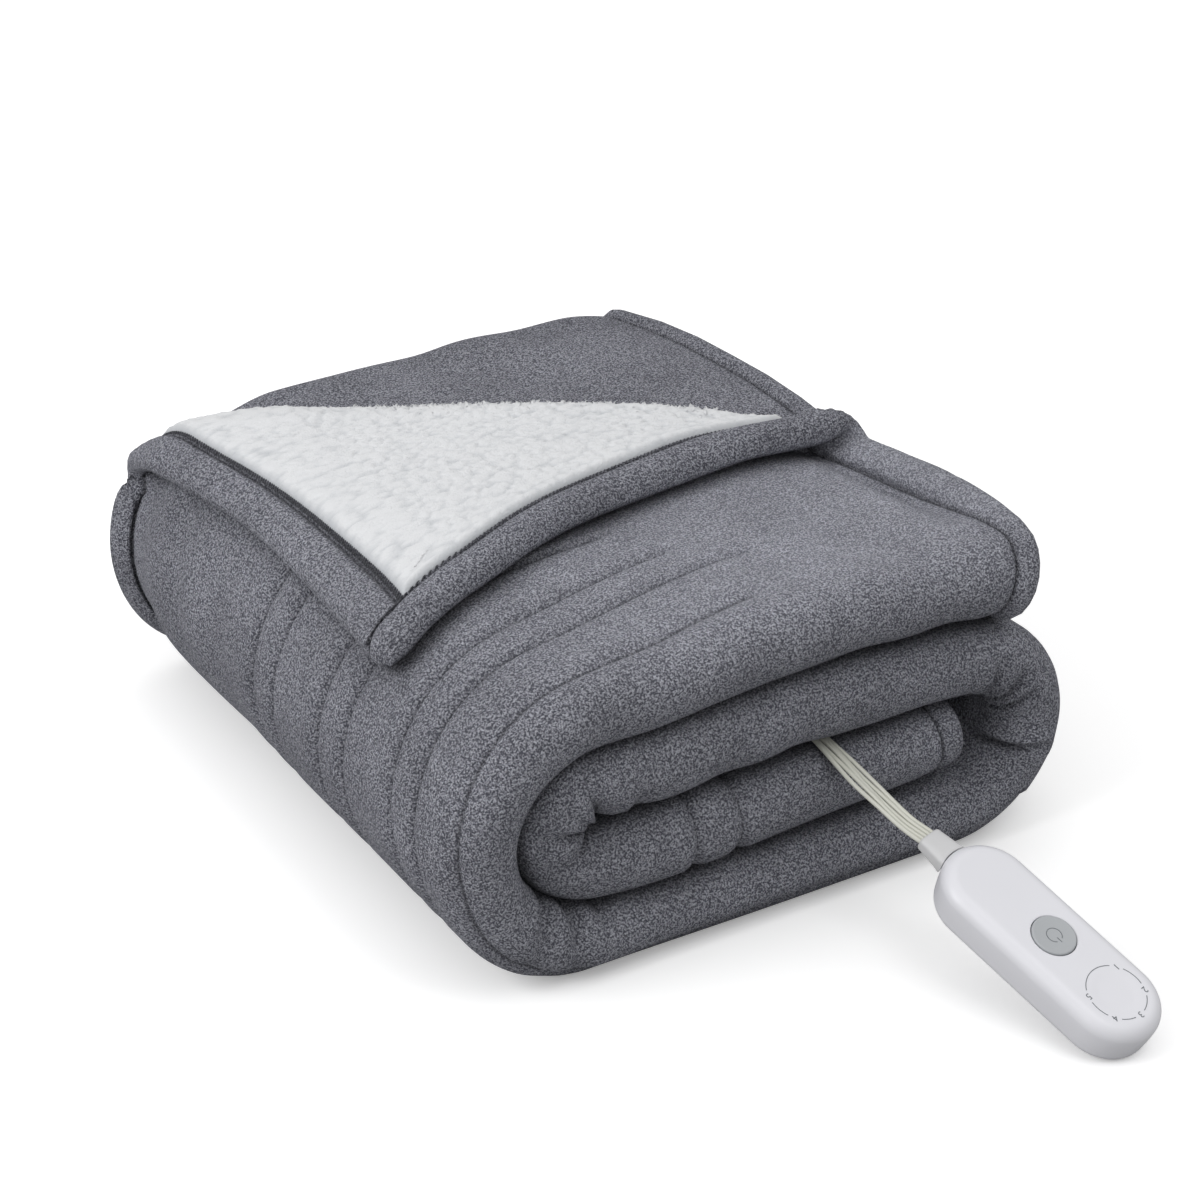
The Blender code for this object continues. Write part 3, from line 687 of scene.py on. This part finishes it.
def makeSherpa(material):
    n = sherpa["rings"]
    ringOf = np.repeat(np.arange(n + 1), np.arange(1, n + 2))
    kOf = np.concatenate([np.arange(r + 1) for r in range(n + 1)])
    lean = np.where(ringOf > 0, kOf / np.maximum(ringOf, 1), 0.5)
    left = 1 - ringOf / n
    away = (1 - left * (0.7 + 0.3 * left)) * liningReach(lean)
    s, w = sherpa["margin"] + away * (1 - lean), sherpa["margin"] + away * lean
    edge = np.minimum(np.minimum(s, w) - sherpa["margin"], 0.02)
    foot = pastCrease(s, w) - sherpa["foot"]
    border = smooth(np.minimum(edge, foot) / 0.0035)
    middle, normal = clothMiddle(s, w), clothNormal(s, w) * pileSide
    curls, coarse = sherpaHeight(s, w)
    high = sherpa["base"] + border * (sherpa["pile"] * 0.6 + curls) + 0.0008 * (edge > 0)
    outer = middle + normal * high[:, None]
    inner = middle + normal * (sherpa["base"] - 0.002)
    first = np.arange(n + 2) * np.arange(1, n + 3) // 2
    faces = []
    count = len(s)
    for r in range(n):
        a, b = first[r], first[r + 1]
        k = np.arange(r + 1)
        down = np.stack((a + k, b + k, b + k + 1), -1)
        up = np.stack((a + k[:-1], b + k[:-1] + 1, a + k[:-1] + 1), -1)
        faces.append(np.concatenate((down, up)))
    faces = np.concatenate(faces)
    rim = np.concatenate((first[:n], first[n] + np.arange(n), first[n + 1:1:-1] - 1))
    after = np.roll(rim, -1)
    walls = np.stack((rim, after, after + count, rim + count), -1)
    ab = outer[faces[0, 1]] - outer[faces[0, 0]]
    ac = outer[faces[0, 2]] - outer[faces[0, 0]]
    if np.dot(np.cross(ab, ac), normal[0]) < 0:
        faces = faces[:, ::-1]
    else:
        walls = walls[:, ::-1]
    lower = faces[:, ::-1] + count
    points = settle(np.concatenate((outer, inner)))
    piece = newPiece("sherpaCorner", points, faces.tolist() + lower.tolist() + walls.tolist(), [material])
    # how high the pile stands, which the lining's material turns into painted shade, darker between the curls
    # and towards the border
    tallest = sherpa["curlHeight"] + sherpa["fineHeight"]
    depth = border * (0.35 * coarse + 0.65 * np.clip(curls / tallest, 0, 1))
    pointValues(piece, "curl", np.concatenate((depth, depth)))
    print("sherpa:", len(faces) * 2, "faces")
    return piece


def makeTufts(material):
    # curled locks that stand out of the pile along the turned edge
    rng = np.random.default_rng(21)
    tries = sherpa["tufts"] * 12
    lean = rng.random(tries)
    away = rng.random(tries) * (liningReach(lean) - 0.003)
    s, w = (sherpa["margin"] + 0.0015 + away * share for share in (1 - lean, lean))
    edge = np.minimum(s, w) - sherpa["margin"]
    foot = pastCrease(s, w) - sherpa["foot"]
    crest = swell(foot, 0, 0.011) * ramp(w, 0.07, 0.06)
    kept = rng.random(tries) < crest * (edge > 0.006)
    s, w, foot = (values[kept][:sherpa["tufts"]] for values in (s, w, foot))
    count = len(s)
    middle, normal = clothMiddle(s, w), clothNormal(s, w) * pileSide
    curls, _ = sherpaHeight(s, w)
    root = middle + normal * (sherpa["base"] + sherpa["pile"] * 0.6 + curls - 0.0016)[:, None]
    turn = rng.random(count) * 2 * pi
    alongS = unit(clothMiddle(s + 0.0004, w) - clothMiddle(s - 0.0004, w))
    lay = alongS * np.cos(turn)[:, None] + np.cross(normal, alongS) * np.sin(turn)[:, None]
    cross = np.cross(lay, normal)
    length = sherpa["tuftLength"] * (0.45 + 0.75 * rng.random(count)) * (0.7 + 0.3 * swell(foot, 0, 0.02))
    width = sherpa["tuftWidth"] * (0.7 + 0.6 * rng.random(count))
    points = []
    sides = 5
    for up, out, wide in ((0.0, 0.0, 1.0), (0.40, 0.14, 0.92), (0.74, 0.42, 0.55)):
        spine = root + normal * (length * up)[:, None] + lay * (length * out)[:, None]
        for k in range(sides):
            angle = 2 * pi * k / sides
            points.append(spine + cross * (width * wide * cos(angle))[:, None] / 2
                          + (normal * 0.35 + lay * 0.8) * (width * wide * sin(angle))[:, None] / 2)
    points.append(root + normal * (length * 0.86)[:, None] + lay * (length * 0.66)[:, None])
    points = settle(np.stack(points, 1))
    one = [tuple(range(sides))]
    for level in (0, sides):
        one += [(level + k, level + sides + k, level + sides + (k + 1) % sides, level + (k + 1) % sides)
                for k in range(sides)]
    one += [(2 * sides + k, 3 * sides, 2 * sides + (k + 1) % sides) for k in range(sides)]
    size = 3 * sides + 1
    a, b, c = (points[0][k] for k in (0, sides, 1))
    if np.dot(np.cross(b - a, c - a), a - points[0][:sides].mean(0)) < 0:
        one = [face[::-1] for face in one]
    faces = [tuple(size * t + v for v in face) for t in range(count) for face in one]
    piece = newPiece("sherpaTufts", points, faces, [material])
    # the tufts stand at the lightest end of the lining's painted shade
    pointValues(piece, "curl", np.tile([0.55] * sides + [0.8] * sides + [1.0] * (sides + 1), count))
    print("tufts:", count)
    return piece


# overlocked edge between the hems and the lining
stitching = {
    "place": 0.0183,  # from the cloth's edge
    "spacing": 0.0024,
    "length": 0.0028,
    "thread": 0.00042,
    "height": 0.0070,  # over the cloth's middle
    "tipStart": 0.0020,  # the end hem's row runs on over the side hem
}


def makeStitching(material):
    spots = []
    for alongSide in (True, False):
        first = sherpa["margin"] if alongSide else stitching["tipStart"]
        last = sherpa["margin"] + liningReach(np.array([0.0 if alongSide else 1.0]))[0]
        for k in range(int((last - first) / stitching["spacing"])):
            spots.append((alongSide, first + (k + 0.5) * stitching["spacing"]))
    points, faces = [], []
    half = stitching["length"] / 2
    for alongSide, place in spots:
        ends = []
        for lean in (-1, 0, 1):
            a = stitching["place"] + lean * half * 0.75
            b = place + lean * half * 0.66
            s, w = (b, a) if alongSide else (a, b)
            sa, wa = np.array([s]), np.array([w])
            up = clothNormal(sa, wa)[0] * pileSide
            high = stitching["height"] + blanket["hemStuffing"] * hemCrest(min(s, w)) - 0.0006 * abs(lean)
            ends.append((clothMiddle(sa, wa)[0] + up * high, up))
        run = unit(ends[2][0] - ends[0][0])
        addTube(points, faces, [[here + (np.cross(run, up) * cos(a) + up * sin(a)) * stitching["thread"]
                                 for a in (pi / 4 + k * pi / 2 for k in range(4))] for here, up in ends])
    piece = newPiece("hemStitching", settle(np.array(points)), faces, [material])
    print("stitches:", len(spots))
    return piece


# controller, button, boot and print: all are placed on the case's own axes
def caseAxes():
    heading, slope, rolled = (radians(controller[k]) for k in ("pointing", "slope", "rolled"))
    ahead = np.array((cos(heading) * cos(slope), sin(heading) * cos(slope), -sin(slope)))
    side = np.array((-sin(heading), cos(heading), 0.0))
    face = np.cross(ahead, side)
    return ahead, side * cos(rolled) - face * sin(rolled), face * cos(rolled) + side * sin(rolled)


ahead, sideways, faceUp = caseAxes()


def onCase(along, across, depth):
    return np.array(controller["dialCentre"]) + ahead * along + sideways * across - faceUp * depth


def caseLoop(inset, depth, steps=40):
    radius = controller["width"] / 2 - inset
    ends = ((controller["tip"] - controller["width"] / 2, -pi / 2),
            (controller["width"] / 2 - controller["back"], pi / 2))
    points = []
    for centre, first in ends:
        for k in range(steps + 1):
            angle = first + pi * k / steps
            points.append(onCase(centre + radius * cos(angle), radius * sin(angle), depth))
    return points


def roundLoop(centre, radius, depth, steps=72):
    return [onCase(centre + radius * cos(2 * pi * k / steps), radius * sin(2 * pi * k / steps), depth)
            for k in range(steps)]


def makeCase(material):
    # the housing's rounded shell, the button's pocket and the dial's dish, with the face filled between them
    r, depth = controller["round"], controller["depth"]
    lower, skirt = controller["lowerRound"], controller["skirt"]
    profile = [(r + 0.0006, 0.0)]
    profile += [(r * (1 - sin(a)), r * (1 - cos(a))) for a in np.linspace(0, pi / 2, 14)]
    profile += [(0.0002, depth * 0.45), (0.0006, depth * 0.62), (skirt, depth - lower)]
    profile += [(skirt + 0.0042 * (1 - cos(a)), depth - lower + lower * sin(a))
                for a in np.linspace(0.12, pi / 2, 9)]
    profile += [(0.0066, depth)]
    shell = [caseLoop(inset, d) for inset, d in profile]
    hole = controller["buttonRadius"] + controller["clear"] + 0.0001
    lip = controller["pocketLip"]
    pocket = [(hole + lip + 0.0005, 0.0), (hole + lip, 0.0)]
    pocket += [(hole + lip * (1 - sin(a)), lip * (1 - cos(a))) for a in (0.5, 1.0, pi / 2)]
    pocket += [(hole, controller["pocketDepth"])]
    dial = controller["dishRadius"]
    dish = [(dial + 0.0012, 0.0), (dial + 0.0008, 0.0)]
    dish += [(dial * (1 - k / 8), controller["dishDepth"] * smooth(k / 3)) for k in range(1, 8)]
    mesh = bmesh.new()
    rims = []
    for loops in (shell, [roundLoop(-controller["buttonBack"], *circle) for circle in pocket],
                  [roundLoop(0.0, *circle) for circle in dish]):
        points, faces = bridged(loops, closeLast=True)
        verts = [mesh.verts.new(p) for p in points]
        for face in faces:
            mesh.faces.new([verts[k] for k in face])
        ring = verts[:len(loops[0])]
        rims += [mesh.edges.get((a, b)) for a, b in zip(ring, ring[1:] + ring[:1])]
    bmesh.ops.triangle_fill(mesh, edges=rims, use_beauty=True, use_dissolve=False)
    bmesh.ops.recalc_face_normals(mesh, faces=mesh.faces[:])
    data = bpy.data.meshes.new("controllerShell")
    mesh.to_mesh(data)
    mesh.free()
    data.materials.append(material)
    data.shade_smooth()
    data.set_sharp_from_angle(angle=radians(40))
    print("controller case:", len(data.polygons), "faces")
    return newObject("controllerShell", data)


def makeButton(material):
    r, proud, edge = controller["buttonRadius"], controller["buttonProud"], controller["buttonEdge"]
    circles = [(r, controller["buttonBelow"]), (r, edge - proud)]
    circles += [(r - edge * (1 - sin(a)), edge * (1 - cos(a)) - proud)
                for a in np.linspace(pi / 2 - 0.3, 0, 6)]
    circles += [((r - edge) * k, 0.0004 * (1 - k * k) - proud) for k in (0.95, 0.8, 0.6, 0.4, 0.2)]
    loops = [roundLoop(-controller["buttonBack"], *circle) for circle in circles]
    return newPiece("powerKey", *bridged(loops, closeFirst=True, closeLast=True), [material], sharp=50)


# strain relief, from the case outwards: distance, half width, half depth
bootRings = (
    (0.0, 0.0098, 0.0054), (0.0006, 0.0101, 0.0057), (0.0022, 0.0097, 0.0054), (0.0050, 0.0092, 0.0050),
    (0.0090, 0.0086, 0.0047), (0.0125, 0.0082, 0.0044), (0.0152, 0.0079, 0.0041), (0.0161, 0.0076, 0.0038),
    (0.0165, 0.0071, 0.0033),
)


def makeBoot(material):
    clear, length = controller["clear"], controller["bootLength"]
    caseRadius = controller["width"] / 2
    end = -controller["back"] - clear
    sides = 64
    loops = []
    for reach, halfWide, halfDeep in bootRings:
        loop = []
        for k in range(sides):
            # a rounded rectangle that follows the case's round end
            c, d = (np.sign(v) * abs(v) ** 0.45 for v in (cos(2 * pi * k / sides), sin(2 * pi * k / sides)))
            base = caseRadius - controller["back"] - sqrt((caseRadius + clear) ** 2 - (halfWide * c) ** 2)
            along = base + (end - base) * reach / length - reach
            loop.append(onCase(along, halfWide * c, controller["bootDepth"] + halfDeep * d))
        loops.append(loop)
    points, faces = bridged(loops)
    for level, reach in ((0, 0.0), (len(loops) - 1, length)):
        hub = len(points)
        points.append(onCase(end - reach, 0.0, controller["bootDepth"]))
        faces += [(hub, level * sides + k, level * sides + (k + 1) % sides) for k in range(sides)]
    return newPiece("leadBoot", points, faces, [material], sharp=50)


def arcBand(centre, radius, line, first, last, steps):
    # along, across pairs round a band that follows an arc
    return [[(centre + side * cos(a), side * sin(a)) for a in np.linspace(first, last, steps + 1)]
            for side in (radius + line / 2, radius - line / 2)]


def bandPiece(name, bands, depth, material):
    # raised print: each band is its outer and its inner edge
    points, faces = [], []
    for outer, inner in bands:
        count = len(outer)
        first = len(points)
        for pairs in (outer, inner):
            for layer in (depth - controller["printProud"], depth + controller["printSunk"]):
                points += [onCase(a, b, layer) for a, b in pairs]
        o, ol, i, il = (first + count * k for k in range(4))
        for k in range(count - 1):
            faces += [(o + k, o + k + 1, i + k + 1, i + k), (ol + k, il + k, il + k + 1, ol + k + 1),
                      (o + k, ol + k, ol + k + 1, o + k + 1), (i + k, i + k + 1, il + k + 1, il + k)]
        faces += [(o + k, i + k, il + k, ol + k) for k in (0, count - 1)]
    return newPiece(name, points, faces, [material], sharp=30)


def makeDialPrint(material):
    radius, digits = controller["ringRadius"], controller["digits"]
    order = sorted(angle for _, angle in digits)
    clear = radians(13)
    bands = [arcBand(0.0, radius, controller["ringLine"], here + clear, there - clear,
                     max(6, int((there - here) * 14)))
             for here, there in zip(order, order[1:] + [order[0] + 2 * pi])]
    ring = bandPiece("dialRing", bands, 0.0, material)
    turn = Matrix((Vector(-sideways), Vector(ahead), Vector(faceUp))).transposed().to_4x4()
    points, faces = [], []
    for text, angle in digits:
        curve = bpy.data.curves.new("digit", "FONT")
        curve.body = text
        curve.size = controller["digitSize"]
        curve.align_x, curve.align_y = "CENTER", "CENTER"
        curve.extrude = controller["printProud"] / 2
        thing = newObject("digit", curve)
        place = onCase(radius * cos(angle), radius * sin(angle), -controller["printProud"] / 2)
        thing.matrix_world = Matrix.Translation(Vector(place)) @ turn
        bpy.context.view_layer.update()
        data = bpy.data.meshes.new_from_object(thing.evaluated_get(bpy.context.evaluated_depsgraph_get()))
        data.transform(thing.matrix_world)
        faces += [tuple(len(points) + k for k in p.vertices) for p in data.polygons]
        points += [tuple(v.co) for v in data.vertices]
        bpy.data.objects.remove(thing)
        bpy.data.meshes.remove(data)
    print("dial print:", len(faces), "faces")
    return ring, newPiece("dialNumbers", points, faces, [material], sharp=30)


def makePowerMark(material):
    # a broken ring with a bar in its gap
    centre = -controller["buttonBack"]
    radius, line, gap = controller["markRadius"], controller["markLine"], radians(28)
    bar = [[(centre + end, side) for end in (0.0020, 0.0055)] for side in (line / 2, -line / 2)]
    bands = [arcBand(centre, radius, line, gap, 2 * pi - gap, 40), bar]
    return bandPiece("powerMark", bands, 0.0003 - controller["buttonProud"], material)


# the lead's own shape
def smoothRoute(points, perLeg):
    # Catmull-Rom curve through the route's points
    p = [np.array(q, float) for q in points]
    p = [2 * p[0] - p[1]] + p + [2 * p[-1] - p[-2]]
    out = []
    for a, b, c, d in zip(p[:-3], p[1:-2], p[2:-1], p[3:]):
        for k in range(perLeg):
            t = k / perLeg
            out.append(0.5 * (2 * b + (c - a) * t + (2 * a - 5 * b + 4 * c - d) * t * t
                              + (3 * b - a - 3 * c + d) * t ** 3))
    return out + [p[-2]]


def makeLead(material):
    # round insulated strands side by side, closer together where they come out of the blanket
    back = controller["back"] + controller["bootLength"] + 2 * controller["clear"]
    route = smoothRoute(lead["route"] + (tuple(onCase(-back, 0.0, controller["bootDepth"])),), lead["perLeg"])
    radius = lead["strandWidth"] / 2
    pitch = (lead["width"] - lead["strandWidth"]) / (lead["strands"] - 1)
    last = len(route) - 1
    points, faces = [], []
    for strand in range(lead["strands"]):
        loops = []
        for k, here in enumerate(route):
            before, after = route[max(k - 1, 0)], route[min(k + 1, last)]
            tangent = ahead if k == last else unit(after - before)
            share = k / last
            turn = float(smooth(share))
            wide = np.array((1.0, 0.0, 0.0)) * (1 - turn) + sideways * turn
            wide = unit(wide - tangent * np.dot(wide, tangent))
            up = np.cross(wide, tangent)
            if up[2] < 0:
                up = -up
            loose = sin(pi * share) * lead["twist"]
            spread = lead["drawnIn"] + (1 - lead["drawnIn"]) * float(ramp(share, 0.15, 0.5))
            across = (strand - (lead["strands"] - 1) / 2) * pitch * spread
            across += loose * sin(9 * share + 2.3 * strand)
            rise = loose * cos(7 * share + 1.7 * strand) + 0.0004 * (1 - spread) * (-1) ** strand
            centre = here + wide * across + up * rise
            loops.append([centre + (wide * cos(a) + up * sin(a)) * radius
                          for a in np.linspace(0, 2 * pi, lead["sides"] + 1)[:-1]])
        addTube(points, faces, loops)
    piece = newPiece("flatLead", points, faces, [material], sharp=60)
    length = sum(float(np.linalg.norm(b - a)) for a, b in zip(route[:-1], route[1:]))
    print("lead:", round(length, 4), "m")
    return piece, route, length


# how the blanket's plush looks
plushLook = {
    "dark": "#585962", "light": "#C2C3CD",
    "calm": 0.52,  # how even the colour is in the painted pool of light
    "nub": 0.0012,  # metres across one nub of the pile
    "stray": 0.0008,  # how far the nubs are pulled out of round
    "patch": 0.055,  # size of brushed patches
    "foldShade": 0.014,  # reach of the painted shade that darkens the plush in folds and crevices
    "bump": 0.0028,
}
# textured polyester sewing thread: fuzzy like the plush, but even in colour and with little painted shade
threadLook = {"dark": "#7D7E86", "light": "#A8A9B1", "nub": 0.0010, "foldShade": 0.0008}


def brushedPlush(name="brushedPolyesterPlush", look=plushLook):
    # polyester microplush, brushed and tumbled: matt small nubs with painted shade in their gaps, a faint
    # sheen at grazing angles, patches of random lighter and darker tone, and a painted pool of light on the
    # top
    mat, tree = newMaterial(name)
    place = addNode(tree, "ShaderNodeTexCoord", out="Object")
    nub = look["nub"]
    pull = addNode(tree, "ShaderNodeTexNoise", out="Color",
                   inputs={"Scale": 0.55 / nub, "Detail": 2.0, "Vector": place})
    centred = addNode(tree, "ShaderNodeVectorMath", {0: pull, 1: (0.5, 0.5, 0.5)}, operation="SUBTRACT")
    strayed = addNode(tree, "ShaderNodeVectorMath", {0: centred, 1: (look["stray"] * 2,) * 3, 2: place},
                      operation="MULTIPLY_ADD")
    nubs = addNode(tree, "ShaderNodeTexVoronoi", feature="SMOOTH_F1",
                   inputs={"Scale": 1 / nub, "Smoothness": 0.35, "Randomness": 1.0, "Vector": strayed})
    fibres = addNode(tree, "ShaderNodeTexNoise",
                     {"Scale": 1.1 / nub, "Detail": 2.0, "Roughness": 0.6, "Vector": place})
    patches = addNode(tree, "ShaderNodeTexNoise",
                      {"Scale": 1 / look["patch"], "Detail": 2.0, "Vector": place})
    domes = addNode(tree, "ShaderNodeMapRange", {"Value": nubs, "From Min": 0.75, "From Max": 0.12})
    tangle = addNode(tree, "ShaderNodeMapRange", {"Value": fibres, "From Min": 0.30, "From Max": 0.70})
    height = addNode(tree, "ShaderNodeMix", {0: 0.60, 2: domes, 3: tangle}, data_type="FLOAT")
    # the painted pool of light, read from the blanket
    paintedLightPatch = addNode(tree, "ShaderNodeAttribute", out="Fac", attribute_name="paintedLightPatch")
    depth = addNode(tree, "ShaderNodeMapRange", {"Value": height, "From Min": 0.30, "From Max": 0.72})
    even = addNode(tree, "ShaderNodeMath", {0: paintedLightPatch, 1: 0.8}, operation="MULTIPLY")
    depth = addNode(tree, "ShaderNodeMix", {0: even, 2: depth, 3: look["calm"]}, data_type="FLOAT")
    # the pile's grain in colour: light on the nubs, with painted shade darkening the gaps between them
    tone = addNode(tree, "ShaderNodeMix", {0: depth, 6: linear(look["dark"]), 7: linear(look["light"])},
                   out=2, data_type="RGBA")
    patchTone = addNode(tree, "ShaderNodeMapRange",
                        {"Value": patches, "From Min": 0.3, "From Max": 0.7, "To Min": 0.88, "To Max": 1.10})
    # painted shade: the plush darkens within 1.5 mm of a seam or hem groove
    seam = addNode(tree, "ShaderNodeAttribute", out="Fac", attribute_name="seam")
    seamGrooveShade = addNode(tree, "ShaderNodeMapRange", interpolation_type="SMOOTHSTEP",
                       inputs={"Value": seam, "From Min": 0.0, "From Max": 0.0015,
                               "To Min": 0.50, "To Max": 1.0})
    # painted shade: ambient occlusion darkens the base colour in folds, creases and crevices
    foldShade = addNode(tree, "ShaderNodeAmbientOcclusion", {"Distance": look["foldShade"]}, out="AO", samples=4)
    foldShadeTone = addNode(tree, "ShaderNodeMapRange", {"Value": foldShade, "From Min": 0.15, "From Max": 0.85,
                                                       "To Min": 0.35, "To Max": 1.0})
    # the painted pool of light lifts the colour, then the painted shades below darken it
    product = addNode(tree, "ShaderNodeMath", {0: paintedLightPatch, 1: 1.0}, operation="ADD")
    for factor in (foldShadeTone, patchTone, seamGrooveShade):
        product = addNode(tree, "ShaderNodeMath", {0: factor, 1: product}, operation="MULTIPLY")
    final = addNode(tree, "ShaderNodeVectorMath", {0: tone, "Scale": product}, operation="SCALE")
    bump = addNode(tree, "ShaderNodeBump", {"Strength": 1.0, "Distance": look["bump"], "Height": height})
    return finished(mat, {"Base Color": final, "Normal": bump, "Roughness": 0.95, "Specular IOR Level": 0.2,
                          "Sheen Weight": 0.12, "Sheen Roughness": 0.5, "Sheen Tint": linear("#C8CAD4")})


def sherpaPile():
    # curly polyester sherpa: bright and matt, with painted shade deep between the curls and towards the
    # lining's border
    mat, tree = newMaterial("curledPolyesterSherpa")
    place = addNode(tree, "ShaderNodeTexCoord", out="Object")
    curl = addNode(tree, "ShaderNodeAttribute", out="Fac", attribute_name="curl")
    fibres = addNode(tree, "ShaderNodeTexNoise", {"Scale": 900.0, "Detail": 3.0, "Vector": place})
    # painted shade: the lowest pile, between the curls and at the border, takes the darker colour
    raised = addNode(tree, "ShaderNodeMapRange", {"Value": curl, "From Min": 0.0, "From Max": 0.55})
    tone = addNode(tree, "ShaderNodeMix", {0: raised, 6: linear("#B0B3B7"), 7: linear("#D3D4D6")},
                   out=2, data_type="RGBA")
    bump = addNode(tree, "ShaderNodeBump", {"Strength": 0.8, "Distance": 0.0008, "Height": fibres})
    return finished(mat, {"Base Color": tone, "Normal": bump, "Roughness": 0.95, "Specular IOR Level": 0.2,
                          "Sheen Weight": 0.3, "Sheen Roughness": 0.5})


def mouldedPlastic(name, hexColour, roughness, grain=0.00025, grainDepth=0.00003):
    # injection moulded plastic with a fine spark-eroded grain: satin, with soft highlights
    mat, tree = newMaterial(name)
    place = addNode(tree, "ShaderNodeTexCoord", out="Object")
    speckle = addNode(tree, "ShaderNodeTexNoise", {"Scale": 1 / grain, "Detail": 1.0, "Vector": place})
    cloud = addNode(tree, "ShaderNodeTexNoise", {"Scale": 40.0, "Detail": 1.0, "Vector": place})
    base = linear(hexColour)
    low = tuple(v * 0.97 for v in base[:3]) + (1.0,)
    tone = addNode(tree, "ShaderNodeMix", {0: cloud, 6: low, 7: base}, out=2, data_type="RGBA")
    bump = addNode(tree, "ShaderNodeBump", {"Strength": 0.5, "Distance": grainDepth, "Height": speckle})
    return finished(mat, {"Base Color": tone, "Normal": bump, "Roughness": roughness, "IOR": 1.53})


def paleFloor():
    # matt painted board, pale to the eye; it throws little light back at the blanket
    mat, tree = newMaterial("palePaintedFloor")
    seen = addNode(tree, "ShaderNodeLightPath", out="Is Camera Ray")
    tone = addNode(tree, "ShaderNodeMix", {0: seen, 6: linear("#B4B4B4"), 7: linear("#FDFDFD")},
                   out=2, data_type="RGBA")
    glow = addNode(tree, "ShaderNodeMath", {0: seen, 1: 0.22}, operation="MULTIPLY")
    return finished(mat, {"Base Color": tone, "Emission Color": (1.0, 1.0, 1.0, 1.0),
                          "Emission Strength": glow, "Roughness": 0.9, "Specular IOR Level": 0.1})


# lights and floor
lights = (
    # name, place, aimed at, size, watts
    ("leftSoftbox", (-1.60, -0.10, 1.15), (0.0, 0.0, 0.10), 1.0, 15.0),
    ("frontSoftbox", (0.10, -1.20, 1.80), (0.0, -0.1, 0.10), 0.7, 4.0),
)


def makeStage():
    reach = 60.0  # so wide that no view meets its edge
    corners = [(-reach, -reach, 0), (reach, -reach, 0), (reach, reach, 0), (-reach, reach, 0)]
    floor = newPiece("floor", corners, [(0, 1, 2, 3)], [paleFloor()])
    for name, place, aim, size, watts in lights:
        data = bpy.data.lights.new(name, "AREA")
        data.energy = watts
        data.size = size
        thing = newObject(name, data)
        thing.location = place
        thing.rotation_euler = (Vector(aim) - Vector(place)).to_track_quat("-Z", "Y").to_euler()
    world = bpy.data.worlds.new("studio")
    world.use_nodes = True
    tree = world.node_tree
    # a studio's white room, dimmer towards and below the horizon
    place = addNode(tree, "ShaderNodeTexCoord", out="Generated")
    height = addNode(tree, "ShaderNodeSeparateXYZ", {0: place}, out="Z")
    above = addNode(tree, "ShaderNodeMapRange", {"Value": height, "From Min": 0.0, "From Max": 1.0,
                                                 "To Min": 0.44, "To Max": 1.0})
    fillInputs(tree, tree.nodes["Background"], {"Color": (1.0, 1.0, 1.0, 1.0), "Strength": above})
    bpy.context.scene.world = world
    bpy.context.scene.view_settings.view_transform = "Standard"


makeCamera()
print("camera made")
leadMaterial = mouldedPlastic("flexiblePvcCable", "#CACAC0", 0.42)
flatLead, leadPath, leadLength = makeLead(leadMaterial)

plushMaterial = brushedPlush()
sherpaMaterial = sherpaPile()
threadMaterial = brushedPlush("overlockThread", {**plushLook, **threadLook})
plushBlanket = makeBlanket(plushMaterial, sherpaMaterial)
sherpaCorner = makeSherpa(sherpaMaterial)
sherpaTufts = makeTufts(sherpaMaterial)
hemStitching = makeStitching(threadMaterial)

shellMaterial = mouldedPlastic("mouldedAbsWhite", "#DCDCE1", 0.36)
buttonMaterial = mouldedPlastic("mouldedAbsGrey", "#A8ABAE", 0.42)
bootMaterial = mouldedPlastic("mouldedTpeGrey", "#C9C9CA", 0.50)
inkMaterial = mouldedPlastic("padPrintedInk", "#6B6F73", 0.55)
controllerShell = makeCase(shellMaterial)
powerKey = makeButton(buttonMaterial)
leadBoot = makeBoot(bootMaterial)
dialRing, dialNumbers = makeDialPrint(inkMaterial)
powerMark = makePowerMark(inkMaterial)

for piece, slot in ((plushBlanket, "plush"), (sherpaCorner, "pile"), (sherpaTufts, "pile"),
                    (hemStitching, "plush"), (flatLead, "lead"), (leadBoot, "boot"),
                    (controllerShell, "case"), (dialRing, "button"), (dialNumbers, "button")):
    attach(piece, "throw")
for piece in (powerKey, powerMark):
    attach(piece, "power_button")
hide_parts("blanket")
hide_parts("sherpa_corner")
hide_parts("lead_cord")
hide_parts("cord_boot")
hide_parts("controller_case")
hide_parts("power_button")
makeStage()
print("stage made")
